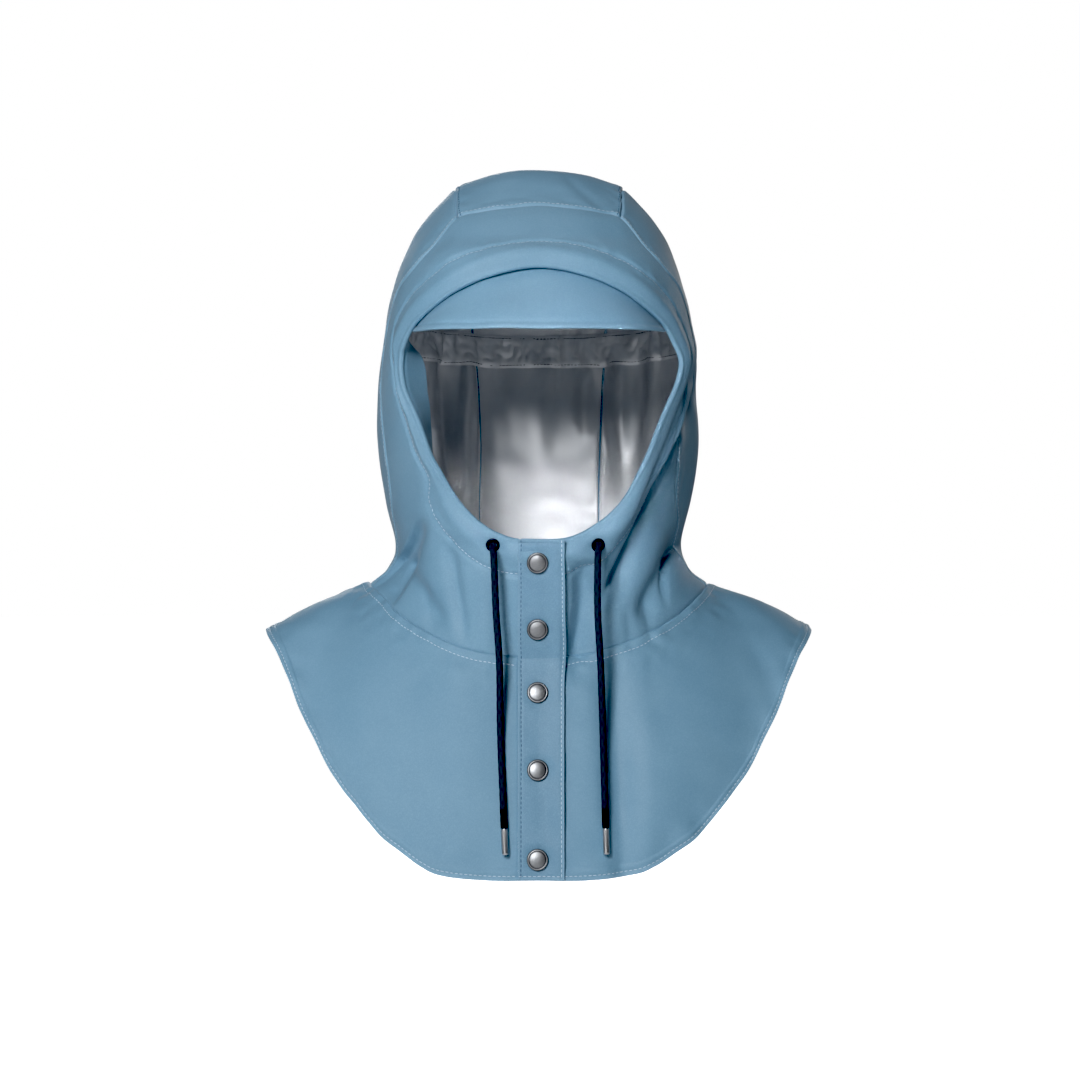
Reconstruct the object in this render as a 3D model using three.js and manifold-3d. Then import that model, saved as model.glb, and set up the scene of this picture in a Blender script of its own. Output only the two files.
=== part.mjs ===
// A detachable rain hood with a shoulder cape, in millimetres, +Z up, worn form, face towards -Y.
// The origin is the outer crown top, where the wearer's head holds the hood up.
import * as THREE from "three";
import { mergeVertices } from "three/addons/utils/BufferGeometryUtils.js";
import Module from "manifold-3d";

const wasm = await Module();
wasm.setup();

// Hood
const hoodHalfWidth = 120; // centre line to the widest place, over the ears
const browReach = 140; // crown centre forward to the brow
const napeReach = 125; // crown centre back to the fullest place
const neckDrop = 300; // crown top down to the neck seam at the nape
const backSquareness = 2.25; // superellipse power of the back half of each ring
const crownRidge = 2; // how far the crown seams stand up
const crownSeamOffset = 60; // centre line to a crown seam
const crownRidgeWidth = 9;
const crownRidgeFade = 0.3; // share of neckDrop over which that ridge dies away

// Cape
const capeHalfWidth = 203; // centre line to a shoulder tip
const capeDrop = 509; // crown top down to the hem at the front
const chestReach = 130; // crown centre forward to the front hem
const bladeReach = 116; // crown centre back to the back hem
const chestSquareness = 2.3;
const capeBulge = 11; // how far the cape arches over the shoulder between neck and hem
const capeFlat = 0.3; // share of that arch that is left at the middle of the front and back

// Cloth
const clothWall = 1.2;
const seamGap = 0.3;
const faceCasingWidth = 24;
const backCasingWall = 1.6;
const peakWall = 2;
const peakHalfWidth = 88;
const peakReach = 57; // the free edge at its middle, ahead of its ends
const peakEndReach = 106; // crown centre forward to the peak's ends
const peakDrop = 129; // crown top down to the peak's free edge
const peakCrown = 4; // how far the peak bows out
const peakDip = 2.9; // how far its free edge falls in the middle

// Placket and closure
const placketWidth = 32;
const placketCentre = 1.5;
const placketWall = 1.6;
const frontEdgeGap = 2; // between the two front edges under the placket
const placketSeat = 0.3; // placket above the cloth under it
const snapRadius = 7.5;
const snapHeight = 2.6;
const snapRim = 0.9; // height of the cap's straight side
const snapRound = 0.5; // rounding of its rim
const snapRimWidth = 1.6;
const snapCrown = 0.3; // how far the dome falls from its top to half way out
const snapOffset = -1; // sideways from the centre line
const snapSeat = 0.7; // cap above the placket, whose cloth curves under it

// Drawcord
const cordRadius = 2.5;
const cordSides = 8;
const cordSteps = 22;
const agletRadius = 2.4;
const agletLength = 18;
const agletChamfer = 0.6;
const eyeletWall = 0.6;
const eyeletFlange = 1.3; // how far the flange stands out past the barrel
const eyeletLip = 0.7; // flange thickness
const eyeletSeat = 0.7; // flange above the cloth, which bends under it
const fitClearance = 0.3; // between a cord, its eyelet and the hole in the cloth

const halfTurn = 180;
const degree = Math.PI / halfTurn;

// Rings from the crown centre down to the neck seam, evenly spaced in rise from 0 to 1.
// side is a share of hoodHalfWidth, front of browReach, back of napeReach and each drop of neckDrop.
// square is the superellipse power of the front half.
const rings = [
  { side: 0, sideDrop: 0, front: 0, frontDrop: 0, back: 0, backDrop: 0, square: 2.2 },
  { side: 0.35, sideDrop: 0.015, front: 0.31, frontDrop: 0.023, back: 0.336, backDrop: 0.013, square: 2.2 },
  { side: 0.617, sideDrop: 0.083, front: 0.63, frontDrop: 0.123, back: 0.672, backDrop: 0.08, square: 2.3 },
  { side: 0.808, sideDrop: 0.2, front: 0.84, frontDrop: 0.207, back: 0.896, backDrop: 0.207, square: 2.5 },
  { side: 0.917, sideDrop: 0.347, front: 0.985, frontDrop: 0.285, back: 0.992, backDrop: 0.36, square: 2.8 },
  { side: 0.975, sideDrop: 0.517, front: 1.02, frontDrop: 0.5, back: 1.008, backDrop: 0.527, square: 3 },
  { side: 0.996, sideDrop: 0.667, front: 0.893, frontDrop: 0.667, back: 0.952, backDrop: 0.69, square: 2.8 },
  { side: 0.95, sideDrop: 0.817, front: 0.807, frontDrop: 0.81, back: 0.848, backDrop: 0.823, square: 2.5 },
  { side: 0.888, sideDrop: 0.923, front: 0.786, frontDrop: 0.92, back: 0.76, backDrop: 0.917, square: 2.3 },
  { side: 0.94, sideDrop: 0.987, front: 0.745, frontDrop: 1.065, back: 0.725, backDrop: 0.967, square: 2.2 },
  { side: 1.05, sideDrop: 1.023, front: 0.714, frontDrop: 1.193, back: 0.72, backDrop: 1, square: 2.2 },
];

// Ribs of the front band from the brow to the chin, each with its end on the face edge and its end on the
// outer seam or the neck. turn is in degrees from the side towards the front,
// rise as in the rings.
const ribs = [
  { edgeTurn: 90, edgeRise: 0.4, outTurn: 90, outRise: 0.2 },
  { edgeTurn: 76, edgeRise: 0.412, outTurn: 76, outRise: 0.21 },
  { edgeTurn: 67, edgeRise: 0.426, outTurn: 64.5, outRise: 0.225 },
  { edgeTurn: 61, edgeRise: 0.437, outTurn: 56, outRise: 0.25 },
  { edgeTurn: 56, edgeRise: 0.447, outTurn: 52, outRise: 0.33 },
  { edgeTurn: 51.5, edgeRise: 0.458, outTurn: 46.5, outRise: 0.374 },
  { edgeTurn: 48.5, edgeRise: 0.473, outTurn: 39, outRise: 0.395 },
  { edgeTurn: 46.7, edgeRise: 0.487, outTurn: 33.5, outRise: 0.43 },
  { edgeTurn: 46.6, edgeRise: 0.509, outTurn: 30.5, outRise: 0.475 },
  { edgeTurn: 48, edgeRise: 0.532, outTurn: 30, outRise: 0.52 },
  { edgeTurn: 50, edgeRise: 0.557, outTurn: 31, outRise: 0.565 },
  { edgeTurn: 51.6, edgeRise: 0.586, outTurn: 31, outRise: 0.619 },
  { edgeTurn: 53.5, edgeRise: 0.63, outTurn: 28, outRise: 0.68 },
  { edgeTurn: 56, edgeRise: 0.661, outTurn: 21.5, outRise: 0.745 },
  { edgeTurn: 58.3, edgeRise: 0.688, outTurn: 14, outRise: 0.84 },
  { edgeTurn: 60.5, edgeRise: 0.709, outTurn: 9, outRise: 1 },
  { edgeTurn: 63.5, edgeRise: 0.734, outTurn: 28, outRise: 1 },
  { edgeTurn: 68, edgeRise: 0.762, outTurn: 45, outRise: 1 },
  { edgeTurn: 74.5, edgeRise: 0.787, outTurn: 62, outRise: 1 },
];
const chinRise = 0.799; // the face edge at the chin, where the placket starts
const sewnEdge = placketWidth / 2 - placketCentre; // centre line to the front edge sewn to the placket
for (const across of [sewnEdge, frontEdgeGap - sewnEdge]) {
  const [edgeTurn, outTurn] = [chinRise, 1].map((rise) => frontTurn(across, rise));
  ribs.push({ edgeTurn, edgeRise: chinRise, outTurn, outRise: 1 });
}
const sewnRib = ribs.length - 2; // where the band ends on the wearer's right
const lapRib = ribs.length - 1; // where it ends on the wearer's left, under the placket
// The crown seam from the front band over the top and down to the nape.
const crownSeam = [
  { turn: 56, rise: 0.25 },
  { turn: 44, rise: 0.2 },
  { turn: 28, rise: 0.17 },
  { turn: 0, rise: 0.163 },
  { turn: -27, rise: 0.17 },
  { turn: -41, rise: 0.2 },
  { turn: -52, rise: 0.25 },
  { turn: -58.5, rise: 0.3 },
  { turn: -64, rise: 0.4 },
  { turn: -67, rise: 0.5 },
  { turn: -67, rise: 0.6 },
  { turn: -64, rise: 0.7 },
  { turn: -61.5, rise: 0.8 },
  { turn: -60, rise: 0.9 },
  { turn: -60, rise: 1 },
];
const crownTurn = 7; // the seam point over the back of the head
const crownRib = ribs.findIndex((rib) => rib.outTurn === crownSeam[0].turn); // its outer end is on that seam
const neckRib = ribs.findIndex((rib) => rib.outRise === 1); // the first whose outer end is on the neck seam

// Rays of the cape from the middle of the front to the shoulder, and the same again behind.
// turn is where the ray leaves the neck seam, across a share of capeHalfWidth and drop of capeDrop.
const rays = [
  { turn: 90, across: 0, drop: 1 },
  { turn: 71, across: 0.165, drop: 1 },
  { turn: 55, across: 0.322, drop: 0.994 },
  { turn: 48, across: 0.394, drop: 0.983 },
  { turn: 42, across: 0.46, drop: 0.967 },
  { turn: 36, across: 0.543, drop: 0.944 },
  { turn: 29, across: 0.626, drop: 0.907 },
  { turn: 24, across: 0.681, drop: 0.881 },
  { turn: 19, across: 0.736, drop: 0.851 },
  { turn: 14, across: 0.781, drop: 0.817 },
  { turn: 9, across: 0.838, drop: 0.777 },
  { turn: 5, across: 0.883, drop: 0.736 },
  { turn: 2, across: 0.933, drop: 0.699 },
  { turn: 0, across: 1, drop: 0.667 },
];
const shoulderRay = rays.length - 1;

// Folds of the front as seen from ahead. Positions across are shares of hoodHalfWidth and down of capeDrop.
// Widths and depths are shares of hoodHalfWidth, and a negative depth is a ridge.
const folds = [
  { fromX: 0.9, fromZ: 0.32, toX: 0.42, toZ: 0.61, width: 0.08, depth: 0.06 },
  { fromX: 0.83, fromZ: 0.31, toX: 0.5, toZ: 0.51, width: 0.11, depth: -0.03 },
  { fromX: -0.73, fromZ: 0.53, toX: -0.92, toZ: 0.61, width: 0.05, depth: 0.05 },
  { fromX: -0.82, fromZ: 0.58, toX: -0.62, toZ: 0.64, width: 0.06, depth: 0.04 },
  { fromX: 0.85, fromZ: 0.55, toX: 0.66, toZ: 0.63, width: 0.06, depth: 0.05 },
  { fromX: 0.45, fromZ: 0.7, toX: 0.5, toZ: 0.98, width: 0.08, depth: 0.03 },
  { fromX: -0.24, fromZ: 0.56, toX: -0.2, toZ: 0.68, width: 0.06, depth: 0.02 },
  { fromX: -0.45, fromZ: 0.72, toX: -0.5, toZ: 0.98, width: 0.2, depth: -0.025 },
];

// A smooth curve through a table's column, at a place between its rows. Before its first row an even column
// goes on as it does after it, an odd one does so with its sign turned, and others keep their slope.
function column(table, key, place, before) {
  const last = table.length - 1;
  const row = Math.min(Math.max(Math.floor(place), 0), last - 1);
  const part = place - row;
  const value = (index) => {
    if (index < 0) {
      const mirrored = table[-index][key];
      if (before === "even") return mirrored;
      if (before === "odd") return -mirrored;
      return 2 * table[0][key] - mirrored;
    }
    if (index > last) return 2 * table[last][key] - table[2 * last - index][key];
    return table[index][key];
  };
  const [a, b, c, d] = [value(row - 1), value(row), value(row + 1), value(row + 2)];
  const slope = c - a;
  const bend = 2 * a - 5 * b + 4 * c - d;
  const twist = 3 * b - a - 3 * c + d;
  return 0.5 * (2 * b + slope * part + bend * part ** 2 + twist * part ** 3);
}

// The turn, in degrees, of a place across the middle of the front, on the ring at a rise.
function frontTurn(across, rise) {
  return 90 - across / (browReach * column(rings, "front", rise * (rings.length - 1), "odd")) / degree;
}

const foldEnd = 1.5; // widths over which a fold dies away past its ends
const foldStart = 0.3; // share of browReach over which folds set in from the side of the head
// How far the cloth lies below its plain form at a place of the front.
function foldDepth(x, z) {
  let depth = 0;
  for (const fold of folds) {
    const startX = fold.fromX * hoodHalfWidth;
    const startZ = -fold.fromZ * capeDrop;
    const runX = fold.toX * hoodHalfWidth - startX;
    const runZ = -fold.toZ * capeDrop - startZ;
    const length = Math.hypot(runX, runZ);
    const along = ((x - startX) * runX + (z - startZ) * runZ) / length ** 2;
    const aside = ((x - startX) * runZ - (z - startZ) * runX) / length;
    const width = fold.width * hoodHalfWidth;
    const beyond = Math.max(0, -along, along - 1) * length;
    const near = Math.exp(-((aside / width) ** 2) - (beyond / (foldEnd * width)) ** 2);
    depth += fold.depth * hoodHalfWidth * near;
  }
  return depth;
}

// The plain form of the hood. Its map is a disc: p to the wearer's left, q to the front, the crown at its
// centre and the neck seam on its rim.
function hoodForm(p, q) {
  const rise = Math.hypot(p, q);
  if (rise < 1e-9) return new THREE.Vector3();
  const place = rise * (rings.length - 1);
  const ahead = q >= 0;
  const side = hoodHalfWidth * column(rings, "side", place, "odd");
  const reach = ahead
    ? browReach * column(rings, "front", place, "odd")
    : napeReach * column(rings, "back", place, "odd");
  const square = ahead ? column(rings, "square", place, "even") : backSquareness;
  const acrossShare = Math.abs(p / rise / side) ** square;
  const aheadShare = Math.abs(q / rise / reach) ** square;
  const radius = (acrossShare + aheadShare) ** (-1 / square);
  const x = (radius * p) / rise;
  const y = (-radius * q) / rise;
  const sideDrop = column(rings, "sideDrop", place, "even");
  const endDrop = column(rings, ahead ? "frontDrop" : "backDrop", place, "even");
  const drop = neckDrop * (sideDrop + (endDrop - sideDrop) * (y / reach) ** 2);
  const ridgeShare = (Math.abs(x) - crownSeamOffset) / crownRidgeWidth;
  const ridge = crownRidge * Math.exp(-(ridgeShare ** 2) - (drop / (crownRidgeFade * neckDrop)) ** 2);
  return new THREE.Vector3(x, y, ridge - drop);
}

// A point of a surface and its outward normal, from a form given over two directions.
function frame(form, u, v, step) {
  const point = form(u, v);
  const alongU = form(u + step, v).sub(form(u - step, v));
  const alongV = form(u, v + step).sub(form(u, v - step));
  return { point, normal: alongV.cross(alongU).normalize() };
}

// Presses a form's folds in towards the head, on its front half only.
function folded(form) {
  return (u, v) => {
    const point = form(u, v);
    const ahead = THREE.MathUtils.smoothstep(-point.y, 0, foldStart * browReach);
    const outward = new THREE.Vector3(point.x, point.y, 0).normalize();
    return point.addScaledVector(outward, -foldDepth(point.x, point.z) * ahead);
  };
}
const mapStep = 0.002; // how far apart a normal's slopes are taken, on the disc
const shareStep = 0.01; // and on forms over shares
const hoodSurface = folded(hoodForm);

function mapPoint(turn, rise) {
  return [rise * Math.cos(turn * degree), rise * Math.sin(turn * degree)];
}
// A place on the face edge or the outer edge of the band: negative ribs are on the wearer's right.
function ribEnd(rib, end) {
  const place = Math.abs(rib);
  const turn = column(ribs, end + "Turn", place, "slope");
  const rise = column(ribs, end + "Rise", place, "even");
  const [p, q] = mapPoint(turn, Math.min(rise, 1));
  return [Math.sign(rib) * p, q];
}
function crownSeamPoint(place, hand) {
  const turn = column(crownSeam, "turn", place, "slope");
  const rise = column(crownSeam, "rise", place, "slope");
  const [p, q] = mapPoint(turn, rise);
  return [hand * p, q];
}
const mix = (from, to, share) => from.map((value, i) => value + (to[i] - value) * share);

// A four-sided patch of the hood's map from its four edges, each a function of a share from 0 to 1.
function patch(start, end, top, bottom) {
  return (u, v) => {
    const across = mix(start(v), end(v), u);
    const down = mix(top(u), bottom(u), v);
    const corners = mix(mix(top(0), top(1), u), mix(bottom(0), bottom(1), u), v);
    return across.map((value, i) => value + down[i] - corners[i]);
  };
}

function spread(from, to, steps) {
  return Array.from({ length: steps + 1 }, (unused, i) => from + ((to - from) * i) / steps);
}

// A closed solid of cloth from two grids of points, its outer and its inner face.
function shell(outer, inner) {
  const rows = outer.length;
  const columns = outer[0].length;
  const last = rows - 1;
  const end = columns - 1;
  const positions = [...outer, ...inner].flat().flatMap((point) => point.toArray());
  const at = (layer, i, j) => (layer * rows + i) * columns + j;
  const indices = [];
  const quad = (a, b, c, d) => indices.push(a, b, c, a, c, d);
  for (let i = 0; i < last; i++) {
    for (let j = 0; j < end; j++) {
      quad(at(0, i, j), at(0, i, j + 1), at(0, i + 1, j + 1), at(0, i + 1, j));
      quad(at(1, i, j), at(1, i + 1, j), at(1, i + 1, j + 1), at(1, i, j + 1));
    }
    quad(at(0, i, 0), at(0, i + 1, 0), at(1, i + 1, 0), at(1, i, 0));
    quad(at(0, i, end), at(1, i, end), at(1, i + 1, end), at(0, i + 1, end));
  }
  for (let j = 0; j < end; j++) {
    quad(at(0, 0, j), at(1, 0, j), at(1, 0, j + 1), at(0, 0, j + 1));
    quad(at(0, last, j), at(0, last, j + 1), at(1, last, j + 1), at(1, last, j));
  }
  const geometry = new THREE.BufferGeometry();
  geometry.setAttribute("position", new THREE.Float32BufferAttribute(positions, 3));
  geometry.setIndex(indices);
  return geometry;
}

// A grid of points whose edges are moved in by half the seam gap, square to each edge.
function drawnIn(grid) {
  const last = grid.length - 1;
  const end = grid[0].length - 1;
  const at = (i, j) => grid[Math.min(Math.max(i, 0), last)][Math.min(Math.max(j, 0), end)];
  const move = (point, inner, before, after) => {
    const edge = after.clone().sub(before).normalize();
    const inward = inner.clone().sub(point);
    inward.addScaledVector(edge, -inward.dot(edge)).normalize();
    return point.clone().addScaledVector(inward, seamGap / 2);
  };
  return grid.map((row, i) =>
    row.map((point, j) => {
      const nextRow = i === 0 ? 1 : last - 1;
      const nextColumn = j === 0 ? 1 : end - 1;
      let moved = point;
      if (i === 0 || i === last) moved = move(moved, at(nextRow, j), at(i, j - 1), at(i, j + 1));
      if (j === 0 || j === end) moved = move(moved, at(i, nextColumn), at(i - 1, j), at(i + 1, j));
      return moved;
    }),
  );
}

// Cloth over a surface given as (u, v) to a point and its normal. lift is its outer face above that
// surface. Each edge is drawn in by half the seam gap, so that neighbours on one seam never touch.
function cloth(surface, us, vs, wall, lift) {
  const faces = us.map((u) => vs.map((v) => surface(u, v)));
  const i = (us.length - 1) >> 1;
  const j = (vs.length - 1) >> 1;
  const middle = faces[i][j];
  const alongU = faces[i + 1][j].point.clone().sub(middle.point);
  const alongV = faces[i][j + 1].point.clone().sub(middle.point);
  if (alongV.cross(alongU).dot(middle.normal) < 0) faces.reverse();
  const raised = (height) => ({ point, normal }) => point.clone().addScaledVector(normal, height);
  const layer = (height) => drawnIn(faces.map((row) => row.map(raised(height))));
  return shell(layer(lift), layer(lift - wall));
}

// A point of the hood and its outward normal at a place of its map, and the same through a map function.
const hoodFrame = ([p, q]) => frame(hoodSurface, p, q, mapStep);
const overHood = (map) => (u, v) => hoodFrame(map(u, v));

const group = new THREE.Group();
function add(name, geometry, look) {
  const mesh = new THREE.Mesh(geometry, new THREE.MeshStandardMaterial(look));
  mesh.name = name;
  group.add(mesh);
  return mesh;
}

const coatedCloth = { color: 0x6f95b3, roughness: 0.55, metalness: 0 };
const liningCloth = { color: 0x8e949c, roughness: 0.5, metalness: 0 };
const nickel = { color: 0x8c9095, roughness: 0.3, metalness: 1 };
const darkMetal = { color: 0x2a2e38, roughness: 0.4, metalness: 1 };
const navyCord = { color: 0x0a1a33, roughness: 0.85, metalness: 0 };

// Crown panel and side panels. They share their places along the crown seam, the band seam and the neck.
const seamSteps = 12;
const browSteps = 6;
const seamEnd = crownSeam.length - 1;
const crownTopPlaces = spread(0, crownTurn, seamSteps);
const crownBackPlaces = spread(crownTurn, seamEnd, seamSteps);
const bandSidePlaces = spread(crownRib, neckRib, seamSteps);
const bandCrownPlaces = spread(-crownRib, crownRib, browSteps);
const napeTurn = crownSeam[seamEnd].turn;
const within = (from, to) => (share) => from + (to - from) * share;
function shareOf(places) {
  const run = places[places.length - 1] - places[0];
  return places.map((place) => (place - places[0]) / run);
}

const crownPlaces = [...crownTopPlaces, ...crownBackPlaces.slice(1)];
const crownMap = patch(
  (v) => crownSeamPoint(within(0, seamEnd)(v), -1),
  (v) => crownSeamPoint(within(0, seamEnd)(v), 1),
  (u) => ribEnd(within(-crownRib, crownRib)(u), "out"),
  (u) => mapPoint(within(-halfTurn - napeTurn, napeTurn)(u), 1),
);
const crownCloth = cloth(overHood(crownMap), shareOf(bandCrownPlaces), shareOf(crownPlaces), clothWall, 0);
add("crown_panel", crownCloth, coatedCloth);

for (const [name, hand] of [["side_panel_left", 1], ["side_panel_right", -1]]) {
  const sideMap = patch(
    (v) => ribEnd(hand * within(crownRib, neckRib)(v), "out"),
    (v) => crownSeamPoint(within(crownTurn, seamEnd)(v), hand),
    (u) => crownSeamPoint(within(0, crownTurn)(u), hand),
    (u) => {
      const [p, q] = mapPoint(within(ribs[neckRib].outTurn, napeTurn)(u), 1);
      return [hand * p, q];
    },
  );
  const sideShares = [shareOf(crownTopPlaces), shareOf(bandSidePlaces)];
  add(name, cloth(overHood(sideMap), ...sideShares, clothWall, 0), coatedCloth);
}

// Front band, from the edge sewn to the placket round the face to the edge that runs under it.
const bandMap = (rib, share) => mix(ribEnd(rib, "edge"), ribEnd(rib, "out"), share);
const bandPlaces = [
  ...spread(-sewnRib, -neckRib, 3 * (sewnRib - neckRib)),
  ...spread(-neckRib, neckRib, 2 * neckRib).slice(1),
  ...spread(neckRib, lapRib, 3 * (lapRib - neckRib)).slice(1),
];
const bandCrowding = 1.5; // power that brings the rows closer together near the face
const bandShares = spread(0, 1, 6).map((share) => share ** bandCrowding);
const bandGeometry = cloth(overHood(bandMap), bandPlaces, bandShares, clothWall, 0);

// Facing inside the face edge. It is one width all round, whatever the length of the rib.
const facingMost = 0.9; // the most of a rib that it covers
function facingMap(rib, share) {
  const [edge, out] = ["edge", "out"].map((end) => hoodSurface(...ribEnd(rib, end)));
  return bandMap(rib, Math.min(facingMost, faceCasingWidth / edge.distanceTo(out)) * share);
}
const facingSlack = 1.6; // between the facing and the band, which bend a little apart
const facingLift = -(clothWall + facingSlack);
const facing = cloth(overHood(facingMap), bandPlaces, spread(0, 1, 3), clothWall, facingLift);
add("face_casing", facing, coatedCloth);

// Gathered casing inside, from temple to temple round the back of the head.
const backCasingTop = 0.405; // rises of its two edges, as in the rings
const backCasingFoot = 0.455;
const backCasingTurn = 28; // where it ends at the temples
const backCasingSlack = 1.8; // between the gathered casing and the flatter panels behind it
const backCasingMap = (turn, rise) => mapPoint(turn, rise);
const backCasing = cloth(
  overHood(backCasingMap),
  spread(-halfTurn - backCasingTurn, backCasingTurn, 36),
  spread(backCasingTop, backCasingFoot, 2),
  backCasingWall,
  -(clothWall + backCasingSlack),
);
add("back_casing", backCasing, liningCloth);

// Peak: it starts behind the brow's edge, inside the facing, and falls forward to a free edge.
const peakRibs = 5.3; // the band's rib at each end of the peak
const peakRoot = 0.04; // share of a rib between the brow's edge and the peak's root
const peakSpan = 0.98; // how near its ends come to those ribs
const peakSlack = 2.2; // between the facing and the peak's root, whose cloth is flatter
const peakLift = facingLift - clothWall - peakSlack;
function peakForm(side, share) {
  const { point: root, normal } = hoodFrame(bandMap(peakRibs * side, peakRoot));
  root.addScaledVector(normal, peakLift);
  const turn = (side * Math.PI) / 2;
  const free = new THREE.Vector3(
    peakHalfWidth * Math.sin(turn),
    -peakEndReach - peakReach * Math.cos(turn),
    -peakDrop - peakDip * Math.cos(turn),
  );
  const bow = peakCrown * Math.cos(turn) * Math.sin(Math.PI * share) * share ** 2;
  return root.lerp(free, share).add(new THREE.Vector3(0, -bow, bow));
}
const peakSurface = (side, share) => frame(peakForm, side, share, shareStep);
add("peak", cloth(peakSurface, spread(-peakSpan, peakSpan, 22), spread(0, 1, 5), peakWall, 0), coatedCloth);

// Cape. A place counts the rays from the middle of the front to a shoulder, the back, the other shoulder
// and home.
const capeRound = 4 * shoulderRay;
const capeArch = (share) => capeBulge * (capeFlat + (1 - capeFlat) * Math.sin(Math.PI * share));
function capeForm(place, out) {
  const wrapped = ((place % capeRound) + capeRound) % capeRound;
  const hand = wrapped > capeRound / 2 ? -1 : 1;
  const half = hand > 0 ? wrapped : capeRound - wrapped;
  const ahead = half <= shoulderRay;
  const ray = ahead ? half : 2 * shoulderRay - half;
  const turn = column(rays, "turn", ray, "slope");
  const across = Math.min(column(rays, "across", ray, "odd"), 1);
  const [p, q] = mapPoint(ahead ? turn : -turn, 1);
  const neck = hoodForm(hand * p, q);
  const depth = (1 - Math.max(across, 0) ** chestSquareness) ** (1 / chestSquareness);
  const hem = new THREE.Vector3(
    hand * capeHalfWidth * across,
    ahead ? -chestReach * depth : bladeReach * depth,
    -capeDrop * column(rays, "drop", ray, "even"),
  );
  const run = hem.clone().sub(neck);
  const level = new THREE.Vector3(run.x, run.y, 0);
  const reach = Math.max(level.length(), 1);
  const rising = level.clone().multiplyScalar(-run.z / reach).setZ(reach).normalize();
  const arch = capeArch(ray / shoulderRay) * Math.sin(Math.PI * out);
  return neck.addScaledVector(run, out).addScaledVector(rising, arch);
}
const capeSurface = folded(capeForm);
const frontPlace = (x) => x / (rays[1].across * capeHalfWidth);
const capePlaces = [
  ...spread(frontPlace(frontEdgeGap - sewnEdge), 2, 6),
  ...spread(2, capeRound - 2, capeRound - 4).slice(1, -1),
  ...spread(capeRound - 2, capeRound - frontPlace(sewnEdge), 5),
];
const capeFrame = (place, out) => frame(capeSurface, place, out, shareStep);
add("cape", cloth(capeFrame, capePlaces, spread(0, 1, 7), clothWall, 0), coatedCloth);

// Placket, sewn along the wearer's right front edge and lapped over the left. down runs from the chin to
// the hem.
const placketNeck = 0.345; // where it crosses the neck seam
function placketForm(share, down) {
  const x = placketCentre + placketWidth * (share - 0.5);
  if (down > placketNeck) return capeSurface(frontPlace(x), (down - placketNeck) / (1 - placketNeck));
  const rise = chinRise + (1 - chinRise) * (down / placketNeck);
  return hoodSurface(...mapPoint(frontTurn(x, rise), rise));
}
const placketFrame = (share, down) => frame(placketForm, share, down, shareStep);
const placketLift = placketSeat + placketWall;
const placketRows = [...spread(0, placketNeck, 6), ...spread(placketNeck, 1, 9).slice(1)];
add("placket", cloth(placketFrame, spread(0, 1, 4), placketRows, placketWall, placketLift), coatedCloth);

// Turns a part made about the Z axis to stand on a surface, at a height above it.
function stand(geometry, { point, normal }, height) {
  const turn = new THREE.Quaternion().setFromUnitVectors(new THREE.Vector3(0, 0, 1), normal);
  const seat = point.clone().addScaledVector(normal, height);
  return geometry.applyQuaternion(turn).translate(seat.x, seat.y, seat.z);
}
const lathe = (profile, sides) => {
  const points = profile.map(([radius, height]) => new THREE.Vector2(radius, height));
  const geometry = new THREE.LatheGeometry(points, sides);
  return geometry.rotateX(Math.PI / 2);
};

// Press-stud caps: a low dome on a rolled rim.
const snapPlaces = [0.06, 0.25, 0.45, 0.68, 0.94]; // shares down the placket
snapPlaces.forEach((down, i) => {
  const cap = lathe(
    [
      [0, 0],
      [snapRadius - snapRound, 0],
      [snapRadius, snapRound],
      [snapRadius, snapRim],
      [snapRadius - snapRound, snapRim + snapRound],
      [snapRadius - snapRimWidth, snapRim + snapRound],
      [snapRadius / 2, snapHeight - snapCrown],
      [0, snapHeight],
    ],
    20,
  );
  const seat = placketFrame(0.5 + (snapOffset - placketCentre) / placketWidth, down);
  add(`snap_cap_${i + 1}`, stand(cap, seat, placketLift + snapSeat), nickel);
});

// A geometry as a solid for cutting, and back.
function solidOf(geometry) {
  const bare = geometry.clone();
  bare.deleteAttribute("normal");
  bare.deleteAttribute("uv");
  const merged = mergeVertices(bare, 1e-4);
  const vertProperties = new Float32Array(merged.attributes.position.array);
  const triVerts = new Uint32Array(merged.index.array);
  return new wasm.Manifold(new wasm.Mesh({ numProp: 3, vertProperties, triVerts }));
}
function geometryOf(solid) {
  const mesh = solid.getMesh();
  const geometry = new THREE.BufferGeometry();
  geometry.setAttribute("position", new THREE.BufferAttribute(new Float32Array(mesh.vertProperties), 3));
  geometry.setIndex(new THREE.BufferAttribute(new Uint32Array(mesh.triVerts), 1));
  return geometry;
}

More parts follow.
